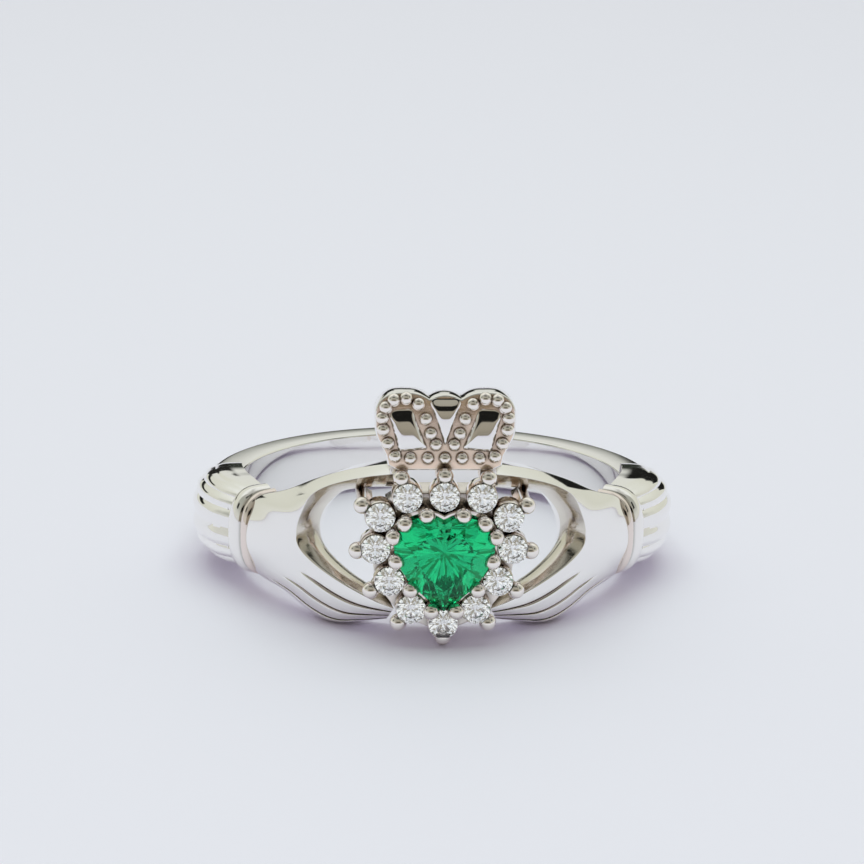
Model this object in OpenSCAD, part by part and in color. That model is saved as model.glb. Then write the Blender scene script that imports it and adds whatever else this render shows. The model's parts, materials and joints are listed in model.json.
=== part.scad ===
// Claddagh ring: a crown over a heart stone in a halo of round stones, held by two hands
// whose wrists leave collars and ribbed cuffs on a plain shank. It lies on its side.
// Millimetres. The origin is the middle of the finger hole, and the head faces -Y.

/* [Finger hole and shank] */
// Diameter of the finger hole
finger_d = 16.9; // [15.3:0.1:19.5]
// Thickness of the shank, from the finger to the outside
shank_wall = 1.54; // [1.3:0.02:1.9]
// Width of the shank, along the finger
shank_w = 2.5; // [2.1:0.02:3.1]
// Rounding of the shank's outer edges
shank_round = 0.3; // [0.2:0.02:0.45]
// Bevel of the shank's inner edges, where the finger goes in
shank_bevel = 0.1; // [0.04:0.02:0.2]

/* [Cuffs and collars] */
// Length of one collar along the ring
collar_l = 1.54; // [1.2:0.02:1.8]
// Width of a collar, along the finger
collar_w = 3.88; // [3.3:0.02:4.4]
// Height of a collar above the finger
collar_h = 1.74; // [1.5:0.02:2.1]
// Length of one cuff along the ring
cuff_l = 5.3; // [4:0.1:6.5]
// Width of a cuff, along the finger
cuff_w = 3.86; // [3.2:0.02:4.4]
// Height of a cuff above the finger
cuff_h = 2.24; // [1.9:0.02:2.6]
// Number of ribs round a cuff
cuff_ribs = 8; // [5:1:10]
// Depth of the grooves between a cuff's ribs
cuff_groove = 0.13; // [0.06:0.01:0.2]

/* [Hands] */
// Distance along the ring from the middle of the head to a wrist's end
hand_l = 9.5; // [9.1:0.02:10.3]
// Height of a palm's crest above the finger
palm_h = 1.98; // [1.7:0.02:2.3]
// Height of the outer edges of a hand above the finger
hand_edge_h = 1.05; // [0.8:0.02:1.3]
// Height of the rim of a hand's opening above the finger
hand_rim_h = 1.12; // [0.9:0.02:1.4]
// How far the fingers reach below the halo's bottom stone's middle
finger_margin = 0.71; // [0.6:0.01:0.85]
// Depth of the grooves between the fingers
finger_groove = 0.15; // [0.08:0.01:0.22]

/* [Halo setting] */
// Diameter of a round halo stone at its girdle
round_d = 1.23; // [1.1:0.01:1.3]
// Gap between the heart stone's sides and the round stones beside it
halo_side_gap = 0.135; // [0.1:0.005:0.25]
// Gap between the heart stone's lobes and the round stones above it
halo_top_gap = 0.185; // [0.12:0.005:0.3]
// Gap between the heart stone's tip and the round stone below it
halo_tip_gap = 0.005; // [0:0.005:0.1]
// How far the halo's bottom stone is below the middle of the shank
halo_drop = 2.33; // [2.1:0.02:2.6]
// Height of the round stones' girdles above the finger, at the middle of the head
halo_rise = 2.5; // [2.3:0.02:2.8]
// How far the outer prongs' balls are behind the round stones' girdles
outer_ball_drop = 0.28; // [0.2:0.02:0.4]
// How far the inner prongs' balls are in front of the round stones' girdles
inner_ball_rise = 0.3; // [0.2:0.02:0.4]
// How far the collets' fronts are behind the round stones' girdles
collet_drop = 0.1; // [0.06:0.01:0.16]
// How far the gallery that carries the collets is behind the round stones' girdles
wall_drop = 0.75; // [0.65:0.01:0.9]
// Metal round each round stone
collet_wall = 0.03; // [0.02:0.01:0.1]
// Radius of the ball on an outer prong
outer_ball_r = 0.36; // [0.3:0.01:0.4]
// Radius of the ball on an inner prong
inner_ball_r = 0.35; // [0.28:0.01:0.38]
// Reach of an outer prong's ball from its stone's middle
prong_reach = 0.83; // [0.78:0.01:0.9]
// Clearance between a stone and its seat
seat_gap = 0.02; // [0.01:0.005:0.04]

/* [Heart stone] */
// Width of the heart stone
heart_w = 4.18; // [3.95:0.02:4.3]
// Height of the heart stone
heart_h = 4; // [3.8:0.02:4.15]
// Height of the heart's girdle above the round stones' girdles
heart_lift = 0.2; // [0.1:0.02:0.35]
// How far the rail under the heart stone reaches outside its outline
rail_out = 0.27; // [0.15:0.01:0.35]
// How far the rail reaches inside the heart stone's outline
rail_in = 0.2; // [0.1:0.01:0.3]
// How far the rail's front is behind the heart stone's girdle
rail_drop = 0.35; // [0.25:0.01:0.5]

/* [Crown] */
// Height of the crown, from its base to its lobes
crown_h = 3.22; // [2.9:0.02:3.6]
// Width of the crown at its lobes
crown_w = 5.6; // [5.3:0.05:6.1]
// Distance of the crown's face in front of the finger
crown_rise = 1.95; // [1.7:0.05:2.2]
// Gap between the top round stone and the crown's base
crown_gap = 0.38; // [0.25:0.01:0.5]
// Thickness of the crown's plate
crown_t = 1.15; // [0.9:0.05:1.4]
// Diameter of the crown's beads
bead_d = 0.56; // [0.44:0.02:0.6]
// Height of the crown's polished panels above its plate
panel_t = 0.2; // [0.12:0.02:0.3]

/* [Hidden] */
round_count = 12;

// Colours, as the photo shows them
silver = [0.86, 0.85, 0.86];
green = [0.05, 0.66, 0.34];
clear = [0.88, 0.93, 0.94];

// Radii of the finger hole and of the shank
finger_r = finger_d / 2;
shank_r = finger_r + shank_wall;
// Radii inside the finger hole that solids start from, before the hole is cut. They
// differ, so that no two backs lie in each other.
back_step = 0.065 * shank_wall;
shank_in_r = finger_r - back_step;
hand_in_r = finger_r - 1.8 * back_step;
cuff_in_r = finger_r - 3 * back_step;
collar_in_r = finger_r - 5.5 * back_step;
head_in_r = finger_r - 9 * back_step;
// Height of the cut that opens the finger hole, past every face of the ring
bore_cut_l = 2 * finger_d;

// Angle from the middle of the head of a length measured along the shank's outside
function along(length) = length / shank_r * 180 / PI;
// Angles of the wrist's end, the collar's end and the cuff's end
wrist_a = along(hand_l);
collar_a = along(hand_l + collar_l);
cuff_a = along(hand_l + collar_l + cuff_l);
// Angle by which neighbouring swept solids run into each other
lap_a = 1;

// Point at an angle from the middle of the head, a radius and a height along the finger
function on_ring(a, r, z) = [r * sin(a), -r * cos(a), z];
function mix(a, b, t) = a + (b - a) * t;
// Row of a table at a place between its rows, on a smooth curve through them
function row_at(rows, place) =
    let (last = len(rows) - 1)
    let (i = min(floor(place), last - 1))
    let (t = place - i)
    let (a = rows[max(i - 1, 0)])
    let (b = rows[i])
    let (c = rows[i + 1])
    let (d = rows[min(i + 2, last)])
    b + 0.5 * t * ((c - a) + t * ((2 * a - 5 * b + 4 * c - d) + t * (3 * (b - c) + d - a)));

// Closed solid through a row of loops, all with as many points, each cap a fan
module loft(loops) {
    n = len(loops[0]);
    last = len(loops) - 1;
    middles = [for (i = [0, last]) [for (k = [0:2]) [for (p = loops[i]) p[k]] * [for (p = loops[i]) 1] / n]];
    points = concat([for (ring = loops) for (p = ring) p], middles);
    first_middle = n * (last + 1);
    sides = [for (i = [0:last - 1]) for (j = [0:n - 1])
        let (a = i * n + j)
        let (b = i * n + (j + 1) % n)
        for (face = [[a, b + n, a + n], [a, b, b + n]]) face];
    start = [for (j = [0:n - 1]) [first_middle, (j + 1) % n, j]];
    finish = [for (j = [0:n - 1]) [first_middle + 1, last * n + j, last * n + (j + 1) % n]];
    polyhedron(points, concat(sides, start, finish));
}

// Loop across the band: a rounded outside over a flat back that the finger hole trims
loop_points = 32;
loop_roundness = 0.62;
function signed_power(value, power) = sign(value) * pow(abs(value), power);
function band_loop(a, in_r, r, half_w, ribs, groove) = [
    for (i = [0:loop_points])
        let (f = -90 + 180 * i / loop_points)
        let (cut = groove * (1 - abs(sin(f * ribs))) * cos(f))
        on_ring(a, in_r + (r - in_r - cut) * pow(cos(f), loop_roundness),
            (half_w - cut / 2) * signed_power(sin(f), 0.8))
];

// Shank: the plain band behind the cuffs, with rounded edges
round_steps = 4;
module shank() {
    half_w = shank_w / 2;
    corner = [for (i = [0:round_steps]) 90 * i / round_steps];
    upper = [for (f = corner) [shank_r - shank_round * (1 - cos(f)), half_w - shank_round * (1 - sin(f))]];
    lower = [for (i = [0:round_steps]) [upper[round_steps - i][0], -upper[round_steps - i][1]]];
    start_a = collar_a + lap_a - 90;
    rotate([0, 0, start_a])
        rotate_extrude(angle = 360 - 2 * (collar_a + lap_a), $fn = 96)
            polygon(concat(lower, upper, [
                [finger_r + shank_bevel, half_w],
                [shank_in_r, half_w - shank_bevel - (finger_r - shank_in_r)],
                [shank_in_r, -half_w + shank_bevel + (finger_r - shank_in_r)],
                [finger_r + shank_bevel, -half_w],
            ]));
}

// Sections of a cuff: share of its length, of its height and of its width
CUFF_ROWS = [
    [-0.04, 0.70, 0.93],
    [0.08, 0.80, 0.97],
    [0.22, 0.91, 1.00],
    [0.40, 0.98, 1.00],
    [0.58, 1.00, 1.00],
    [0.75, 0.97, 0.98],
    [0.90, 0.92, 0.95],
    [0.97, 0.80, 0.86],
    [1.00, 0.66, 0.72],
];
cuff_steps = 2;
module cuff() {
    loft([for (i = [0:(len(CUFF_ROWS) - 1) * cuff_steps]) let (row = row_at(CUFF_ROWS, i / cuff_steps))
        band_loop(mix(collar_a, cuff_a, row[0]), cuff_in_r, finger_r + cuff_h * row[1],
            cuff_w / 2 * row[2], cuff_ribs, cuff_groove)]);
}

// Sections of a collar from the wrist to the cuff: share of its length and of its size
COLLAR_ROWS = [
    [-0.02, 0.88],
    [0.04, 0.94],
    [0.16, 0.97],
    [0.28, 0.94],
    [0.34, 0.90],
    [0.40, 0.95],
    [0.56, 1.00],
    [0.76, 1.00],
    [0.92, 0.96],
    [1.01, 0.88],
];
module collar() {
    loft([for (row = COLLAR_ROWS)
        band_loop(mix(wrist_a, collar_a, row[0]), collar_in_r, finger_r + collar_h * row[1],
            collar_w / 2 * row[1], 0, 0)]);
}

// Halo's half width and height between the middles of its stones, from the heart inside it
halo_half_w = heart_w / 2 + halo_side_gap + round_d / 2;
halo_h = heart_h + halo_top_gap + halo_tip_gap + round_d;
// Places of the halo's top, the crown's base, the thumbs and the fingers' lowest edge
halo_top = halo_h - halo_drop;
crown_base = halo_top + round_d / 2 + crown_gap;
thumb_rise = crown_base;
finger_drop = halo_drop + finger_margin;
// Angle of the head's flank, where thumbs and fingertips tuck under the halo and the crown
tuck_a = along(0.68 * halo_half_w);

// Sections of a hand, from the thumb's tip round its opening to the fingertips.
// Columns: along and across for the opening's rim, for the crest and for the outer edge,
// then the crest's height, the outer edge's height, the bulge between them, and how far the
// opening's wall slopes towards the head at the finger, as a share of the rim's height.
// Along is a share from the head's flank to the wrist's end. Across is a share of the
// thumb's rise above the shank's middle, or of the fingers' drop below it.
HAND_ROWS = [
    [-0.03, 0.78, -0.03, 0.95, -0.03, 1.02, 0.89, 0.95, 0.02, 0.00],
    [0.05, 0.775, 0.05, 0.93, 0.05, 1.00, 0.90, 0.95, 0.03, 0.00],
    [0.15, 0.76, 0.16, 0.895, 0.16, 0.965, 0.92, 0.95, 0.03, 0.00],
    [0.24, 0.727, 0.28, 0.835, 0.28, 0.915, 0.94, 0.95, 0.04, 0.02],
    [0.343, 0.683, 0.39, 0.755, 0.41, 0.84, 0.96, 0.95, 0.06, 0.08],
    [0.418, 0.585, 0.485, 0.635, 0.57, 0.725, 0.98, 0.95, 0.10, 0.18],
    [0.481, 0.462, 0.535, 0.45, 0.76, 0.565, 1.00, 0.97, 0.10, 0.26],
    [0.512, 0.34, 0.568, 0.30, 1.02, 0.41, 1.00, 1.00, 0.02, 0.28],
    [0.505, 0.235, 0.57, 0.165, 1.02, 0.15, 1.00, 1.48, -0.06, 0.20],
    [0.487, 0.115, 0.54, 0.05, 1.02, -0.20, 1.00, 1.48, -0.04, 0.10],
    [0.43, 0.01, 0.463, -0.08, 1.02, -0.54, 0.99, 1.00, 0.08, 0.04],
    [0.363, -0.12, 0.38, -0.20, 0.77, -0.68, 0.98, 0.95, 0.22, 0.00],
    [0.28, -0.25, 0.28, -0.33, 0.60, -0.88, 0.96, 0.95, 0.26, 0.00],
    [0.193, -0.36, 0.18, -0.45, 0.42, -1.01, 0.94, 0.98, 0.24, 0.00],
    [0.13, -0.44, 0.10, -0.55, 0.24, -0.94, 0.92, 1.04, 0.20, 0.00],
    [0.06, -0.50, 0.00, -0.64, 0.05, -0.85, 0.90, 1.06, 0.12, 0.00],
];
// Shares across the back of a hand, from the crest to the outer edge, with the grooves
// between the fingers at the marked shares
HAND_SHARES = [0.09, 0.18, 0.27, 0.38, 0.48, 0.58, 0.68, 0.77, 0.86, 0.93, 1.00];
FINGER_MARKS = [0, 0.27, 0.58, 0.86, 1.00];
// Rows between which the knuckles rise
knuckle_start = 10.2;
knuckle_full = 11.6;
hand_steps = 3;
// How far the opening's wall leans down towards the finger, as a share of the rim's height
wall_lean = 0.27;

function across(share) = share >= 0 ? share * thumb_rise : share * finger_drop;
function hand_angle(share) = mix(tuck_a, wrist_a, share);
// Depth of the finger grooves at a share across the back of the hand
function finger_dip(share) =
    let (k = max([for (i = [0:len(FINGER_MARKS) - 2]) FINGER_MARKS[i] <= share ? i : 0]))
    let (t = (share - FINGER_MARKS[k]) / (FINGER_MARKS[k + 1] - FINGER_MARKS[k]))
    k == 0 && t < 0.5 ? 0 : pow(abs(2 * t - 1), 1.6);
function rise_between(value, low, high) =
    let (t = max(0, min(1, (value - low) / (high - low))))
    t * t * (3 - 2 * t);
function hand_point(row, share, fade) =
    let (crest_h = palm_h * row[6])
    let (edge_h = hand_edge_h * row[7])
    let (h = mix(crest_h, edge_h, share) + row[8] * 4 * share * (1 - share))
    on_ring(hand_angle(mix(row[2], row[4], share)),
        finger_r + h - fade * finger_groove * finger_dip(share),
        mix(across(row[3]), across(row[5]), share));
function hand_loop(place) =
    let (row = row_at(HAND_ROWS, place))
    let (fade = rise_between(place, knuckle_start, knuckle_full))
    let (rim_a = hand_angle(row[0]))
    let (rim_r = finger_r + hand_rim_h)
    let (rim_in_a = asin((sin(rim_a) * rim_r - row[9] * hand_rim_h) / hand_in_r))
    let (rim_z = across(row[1]))
    concat(
        [on_ring(rim_in_a, hand_in_r, rim_z - wall_lean * hand_rim_h), on_ring(rim_a, rim_r, rim_z)],
        [on_ring(hand_angle(row[2]), finger_r + palm_h * row[6], across(row[3]))],
        [for (share = HAND_SHARES) hand_point(row, share, fade)],
        [on_ring(hand_angle(row[4]), hand_in_r, across(row[5]))]);
module hand() {
    stations = (len(HAND_ROWS) - 1) * hand_steps;
    loft([for (i = [0:stations]) hand_loop(i / hand_steps)]);
}

// One side of the ring between the head and the shank
module side() {
    hand();
    collar();
    cuff();
}

// Halo stones from the top one down one side. Columns: place across as a share of the
// halo's half width, place up as a share of its height, reach of the outer prong as a
// share of prong_reach, reach of the inner prong below this stone as a share of round_d,
// and reach of the gallery outwards from the stone's middle as a share of round_d
HALO_ROWS = [
    [0.000, 1.000, 0.98, 0.58, 0.02],
    [0.542, 0.991, 0.97, 0.63, 0.02],
    [0.933, 0.841, 1.04, 0.53, 0.05],
    [1.000, 0.590, 0.90, 0.51, 0.15],
    [0.792, 0.338, 1.05, 0.43, 0.50],
    [0.472, 0.118, 0.98, 0.29, 0.50],
    [0.000, 0.000, 0.73, 0.29, 0.50],
];
halo_side = len(HALO_ROWS) - 1;
// Row of the table and side for each stone, clockwise from the top
function halo_row(i) = i <= halo_side ? i : round_count - i;
function halo_spot(i) =
    let (k = (i + round_count) % round_count)
    let (row = HALO_ROWS[halo_row(k)])
    [(k <= halo_side ? 1 : -1) * row[0] * halo_half_w, row[1] * halo_h - halo_drop];
function unit(v) = v / norm(v);
// Outward direction across the chord between two spots that run clockwise
function outward(a, b) = unit([a[1] - b[1], b[0] - a[0]]);
// Spot at a reach outwards from a stone's middle
function reach_spot(i, reach) = halo_spot(i) + reach * outward(halo_spot(i - 1), halo_spot(i + 1));
function outer_spot(i) = reach_spot(i, prong_reach * HALO_ROWS[halo_row(i)][2]);
function inner_spot(i) =
    let (row = i < halo_side ? i : round_count - 1 - i)
    let (middle = (halo_spot(i) + halo_spot(i + 1)) / 2)
    middle - round_d * HALO_ROWS[row][3] * outward(halo_spot(i), halo_spot(i + 1));

// Distances in front of the finger's middle: of the girdles, and of the prongs' balls
round_y = finger_r + halo_rise;
heart_y = round_y + heart_lift;
outer_y = round_y - outer_ball_drop;
inner_y = round_y + inner_ball_rise;
collet_y = round_y - collet_drop;
plate_y = round_y - wall_drop;
round_r = round_d / 2;
collet_r = round_r + collet_wall;
// Radius of a prong's stem, and of its rounded root, as shares of its ball's
stem_share = 0.62;
root_ball_share = 0.68;
// Reach of a leaning prong's root from its stone's middle, as a share of its ball's reach
root_share = 0.35;
// How far a leaning prong's root is behind the gallery's front, as a share of round_d
root_drop_share = 0.75;
// Last row of HALO_ROWS whose outer prongs stand upright at the end of an arm
arm_rows = 2;
// Depth by which a collet sinks into the gallery, as a share of round_d
collet_sink_share = 0.25;

// Moves a shape drawn along +Z to a spot on the head, pointing at the viewer
module on_head(spot, y) {
    translate([spot[0], -y, spot[1]])
        rotate([90, 0, 0])
            children();
}
// Prong: a ball on a round stem from its root's spot and distance in front of the finger's middle
module prong(root, root_y, spot, ball_r, y) {
    run = [spot[0] - root[0], spot[1] - root[1], y - root_y];
    on_head(root, root_y) {
        rotate([0, acos(run[2] / norm(run)), atan2(run[1], run[0])])
            cylinder(r = ball_r * stem_share, h = norm(run), $fn = 32);
        if (root_y > head_in_r)
            sphere(r = ball_r * root_ball_share, $fn = 32);
    }
    on_head(spot, y)
        sphere(r = ball_r, $fn = 32);
}
// Arm on the head between two spots, as deep as the gallery
module arm(a, b, w) {
    turn = atan2(b[1] - a[1], b[0] - a[0]);
    on_head(a, head_in_r)
        rotate([0, 0, turn])
            translate([0, -w / 2, 0])
                cube([norm(b - a), w, plate_y - head_in_r]);
}
// Gallery: one closed wall behind the round stones, cut back at its top to let light through
module gallery() {
    on_head([0, 0], head_in_r)
        linear_extrude(height = plate_y - head_in_r)
            difference() {
                polygon([for (i = [0:round_count - 1]) reach_spot(i, HALO_ROWS[halo_row(i)][4] * round_d)]);
                polygon([for (i = [0:round_count - 1]) reach_spot(i, -round_r)]);
            }
}
// Rail under the heart stone, which closes the slits between it and the halo
module heart_rail() {
    on_head([0, heart_middle_z], head_in_r)
        linear_extrude(height = heart_y - rail_drop - head_in_r)
            difference() {
                polygon(heart_outline(rail_out));
                polygon(heart_outline(-rail_in));
            }
}
module halo_setting() {
    collet_back_y = plate_y - collet_sink_share * round_d;
    root_y = plate_y - root_drop_share * round_d;
    gallery();
    heart_rail();
    for (i = [0:round_count - 1]) {
        on_head(halo_spot(i), collet_back_y)
            cylinder(r = collet_r, h = collet_y - collet_back_y, $fn = 32);
        prong(inner_spot(i), head_in_r, inner_spot(i), inner_ball_r, inner_y);
        if (halo_row(i) <= arm_rows) {
            prong(outer_spot(i), head_in_r, outer_spot(i), outer_ball_r, outer_y);
            arm(halo_spot(i), outer_spot(i), outer_ball_r);
        } else {
            root = mix(halo_spot(i), outer_spot(i), root_share);
            prong(root, root_y, outer_spot(i), outer_ball_r, outer_y);
        }
    }
}

// Proportions of a cut stone: table's width, crown's height and pavilion's depth,
// each as a share of the stone's width, and the girdle's thickness
table_share = 0.57;
crown_share = 0.15;
pavilion_share = 0.42;
girdle_t = 0.033 * round_d;

// Room that a round stone takes in its seat, and the open culet hole behind it, whose
// radius is a share of the stone's
culet_hole_share = 0.62;
module round_seat(spot) {
    r = round_r + seat_gap;
    open_l = 2 * round_d;
    hole_r = round_r * culet_hole_share;
    on_head(spot, round_y)
        cylinder(r = r, h = girdle_t, $fn = 32);
    on_head(spot, round_y + girdle_t)
        cylinder(r1 = r, r2 = r * table_share, h = crown_share * round_d, $fn = 32);
    on_head(spot, round_y + girdle_t + crown_share * round_d)
        cylinder(r = r * table_share, h = open_l, $fn = 32);
    on_head(spot, round_y - pavilion_share * round_d)
        cylinder(r1 = seat_gap, r2 = r, h = pavilion_share * round_d, $fn = 32);
    on_head(spot, 0)
        cylinder(r = hole_r, h = round_y - 2 * pavilion_share * hole_r, $fn = 32);
}

// Heart outline as points clockwise from the cleft, by arcs and curves from its sizes
cleft_depth_share = 0.07;
heart_side_steps = 14;
heart_middle_z = halo_top - round_d / 2 - halo_top_gap - heart_h / 2;
function heart_outline(grow) =
    let (half = heart_w / 2 + grow)
    let (tall = heart_h + 2 * grow)
    let (cleft = cleft_depth_share * heart_h)
    let (half_c = sqrt(2 * half * cleft) - cleft)
    let (lobe_r = half - half_c)
    let (lobe_z = tall / 2 - lobe_r)
    let (start_f = 90 + asin(half_c / lobe_r))
    let (leave_f = -18)
    let (leave = [half_c + lobe_r * cos(leave_f), lobe_z + lobe_r * sin(leave_f)])
    let (tip = [0, -tall / 2])
    let (pull = leave + 0.42 * norm(leave - tip) * [sin(leave_f), -cos(leave_f)])
    let (arc_steps = ceil(heart_side_steps * 0.6))
    let (side_steps = heart_side_steps - arc_steps)
    let (side = concat(
        [for (i = [0:arc_steps]) let (f = mix(start_f, leave_f, i / arc_steps))
            [half_c + lobe_r * cos(f), lobe_z + lobe_r * sin(f)]],
        [for (i = [1:side_steps]) let (t = i / side_steps)
            (1 - t) * (1 - t) * leave + 2 * t * (1 - t) * pull + t * t * tip]))
    concat(side, [for (i = [1:len(side) - 2]) let (p = side[len(side) - 1 - i]) [-p[0], p[1]]]);

// Brilliant cut through an even number of outline points, with its girdle's lower edge at
// z = 0 and its table upwards
facet_middle_share = 0.8;
lower_share = 0.24;
module brilliant(outline, w, keel, girdle) {
    n = len(outline);
    m = n / 2;
    crown_z = crown_share * w;
    deep_z = pavilion_share * w;
    middle_z = crown_z * (1 - facet_middle_share * cos(180 / m)) / (1 - table_share);
    lower_z = -deep_z * (1 - lower_share * cos(180 / m));
    from_keel = [for (p = outline) p - keel];
    table = [for (k = [0:m - 1]) concat(keel + table_share * from_keel[2 * k], girdle + crown_z)];
    middle = [for (k = [0:m - 1])
        concat(keel + facet_middle_share * from_keel[2 * k + 1], girdle + middle_z)];
    upper = [for (p = outline) concat(p, girdle)];
    under = [for (p = outline) concat(p, 0)];
    lower = [for (k = [0:m - 1]) concat(keel + lower_share * from_keel[2 * k + 1], lower_z)];
    culet = [concat(keel, -deep_z)];
    at_middle = m;
    at_upper = 2 * m;
    at_under = at_upper + n;
    at_lower = at_under + n;
    at_culet = at_lower + m;
    faces = concat(
        [[for (k = [0:m - 1]) k]],
        [for (k = [0:m - 1])
            let (next = (k + 1) % m)
            let (last = (k + m - 1) % m)
            let (g = 2 * k)
            let (g1 = (g + 1) % n)
            let (g2 = (g + 2) % n)
            for (face = [
                [k, at_middle + k, next],
                [k, at_upper + g, at_middle + k],
                [k, at_middle + last, at_upper + g],
                [at_middle + k, at_upper + g, at_upper + g1],
                [at_middle + k, at_upper + g1, at_upper + g2],
                [at_lower + k, at_under + g1, at_under + g],
                [at_lower + k, at_under + g2, at_under + g1],
                [at_culet, at_lower + k, at_under + g],
                [at_culet, at_under + g, at_lower + last],
            ]) face],
        [for (j = [0:n - 1])
            let (next = (j + 1) % n)
            for (face = [[at_upper + j, at_under + j, at_under + next],
                [at_upper + j, at_under + next, at_upper + next]]) face]);
    polyhedron(concat(table, middle, upper, under, lower, culet), faces);
}

// Stone outlines run clockwise, seen from in front of the table
round_sides = 16;
round_outline = [for (i = [0:round_sides - 1])
    let (f = 360 * i / round_sides)
    round_r * [sin(f), cos(f)]];
heart_keel = [0, 0.1 * heart_h];
// Heart stone, or the room in its seat, which is larger all round by a clearance
module heart_cut(grow) {
    on_head([0, heart_middle_z], heart_y - grow)
        brilliant(heart_outline(grow), heart_w + 2 * grow, heart_keel, girdle_t + 2 * grow);
}

// Crown: flat plate with two lobes and a low middle, three polished panels and beads
crown_y = finger_r + crown_rise;
crown_half = crown_w / 2;
// Outline of the plate's right flank: shares of the crown's half width and height
CROWN_FLANK = [[0.70, 0.00], [0.84, 0.06], [0.87, 0.19], [1.00, 0.42]];
// Round parts of the plate's top: place across and up, and radius, the last as a share of
// the half width. The lobes are drawn on both sides.
CROWN_LOBES = [[0.535, 0.582, 0.500], [0.620, 0.655, 0.418], [0.700, 0.722, 0.338]];
CROWN_MIDDLE = [0, 0.599, 0.445];
function crown_spot(share) = [share[0] * crown_half, crown_base + share[1] * crown_h];
// Extrudes a drawing of the crown between two distances in front of the finger's middle
module crown_layer(back_y, front_y) {
    on_head([0, 0], back_y)
        linear_extrude(height = front_y - back_y)
            children();
}
module crown_circle(row) {
    translate(crown_spot(row))
        circle(r = row[2] * crown_half, $fn = 48);
}
module crown_plate() {
    right = [for (p = CROWN_FLANK) crown_spot(p)];
    left = [for (p = right) [-p[0], p[1]]];
    crown_layer(crown_y - crown_t, crown_y) {
        for (row = CROWN_LOBES) {
            crown_circle(row);
            mirror([1, 0])
                crown_circle(row);
        }
        crown_circle(CROWN_MIDDLE);
        polygon(concat(right, [left[3], left[2], left[1], left[0]]));
    }
}
// Posts at the crown's foot, which join it to the halo's arms and to the thumbs' tips: middle
// across and half width, as shares of the crown's half width
FOOT_POSTS = [[-0.627, 0.091], [0, 0.107], [0.627, 0.091]];
foot_rise_share = 0.10;
module crown_foot() {
    low_z = halo_top + 0.35 * round_d;
    for (post = FOOT_POSTS)
        translate([(post[0] - post[1]) * crown_half, crown_t / 2 - crown_y, low_z])
            cube([2 * post[1] * crown_half, crown_y - crown_t / 2 - head_in_r,
                crown_base + foot_rise_share * crown_h - low_z]);
}
// Corners of the polished panels: place as shares of the crown's size, then radius as one
// of its half width
SIDE_PANEL = [[0.655, 0.275, 0.035], [0.290, 0.300, 0.030], [0.545, 0.750, 0.070], [0.700, 0.700, 0.115]];
MIDDLE_PANEL = [[0, 0.355, 0.02], [0.150, 0.880, 0.075], [-0.150, 0.880, 0.075]];
module crown_panel(corners) {
    crown_layer(crown_y - crown_t / 2, crown_y + panel_t)
        hull()
            for (c = corners)
                crown_circle(c);
}
// Beads: place as shares of the crown's half width and height, one side and the middle
MIDDLE_BEADS = [[0, 0.161]];
SIDE_BEADS = [
    [0.252, 0.161], [0.507, 0.161], [0.730, 0.187], [0.840, 0.356], [0.910, 0.535], [0.925, 0.690], [0.875, 0.825],
    [0.760, 0.920], [0.580, 0.942], [0.400, 0.870], [0.290, 0.678], [0.215, 0.488], [0.135, 0.340],
];
module crown_bead(share) {
    on_head(crown_spot(share), crown_y)
        sphere(d = bead_d, $fn = 24);
}
module crown() {
    crown_plate();
    crown_foot();
    crown_panel(SIDE_PANEL);
    mirror([1, 0, 0])
        crown_panel(SIDE_PANEL);
    crown_panel(MIDDLE_PANEL);
    for (share = concat(MIDDLE_BEADS, SIDE_BEADS, [for (p = SIDE_BEADS) [-p[0], p[1]]]))
        crown_bead(share);
}

// Tilt at which the ring rests on the back of its shank and the fronts of its hands.
// Each pair is the middle of a rounded edge as place in front and height, seen from a side.
back_edge = [shank_r - shank_round, shank_round - shank_w / 2];
function edge_tilt(spot, r) =
    let (reach = back_edge - spot)
    atan2(reach[1], reach[0]) - asin((shank_round - r) / norm(reach));
low_hand_points = [for (place = [11:0.25:len(HAND_ROWS) - 1])
    let (row = row_at(HAND_ROWS, place))
    on_ring(hand_angle(row[4]), finger_r + hand_edge_h * row[7], across(row[5]))];
hand_tilt = max([for (p = low_hand_points) edge_tilt([p[1], p[2]], 0)]);
low_prong = outer_spot(halo_side);
prong_tilt = edge_tilt([-outer_y, low_prong[1]], outer_ball_r);
rest_tilt = max(hand_tilt, prong_tilt);
module at_rest() {
    rotate([-rest_tilt, 0, 0])
        children();
}

module silver_ring() {
    color(silver)
        at_rest()
            difference() {
                union() {
                    shank();
                    side();
                    mirror([1, 0, 0])
                        side();
                    crown();
                    halo_setting();
                }
                cylinder(r = finger_r, h = bore_cut_l, center = true, $fn = 96);
                for (i = [0:round_count - 1])
                    round_seat(halo_spot(i));
                heart_cut(seat_gap);
            }
}
module heart_stone() {
    color(green)
        at_rest()
            heart_cut(0);
}
module halo_stone(i) {
    color(clear)
        at_rest()
            on_head(halo_spot(i), round_y)
                brilliant(round_outline, round_d, [0, 0], girdle_t);
}

silver_ring();
heart_stone();
for (i = [0:round_count - 1])
    halo_stone(i);
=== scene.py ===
"""A claddagh ring in polished silver: two hands hold a green heart stone in a halo of round stones,
under a beaded crown. Ring shapes are worked out in millimetres round the finger hole, with the head
towards -Y, and then laid down as the ring rests."""

import json
import math

import bmesh
import bpy
import numpy as np
from mathutils import Matrix, Vector


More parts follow.
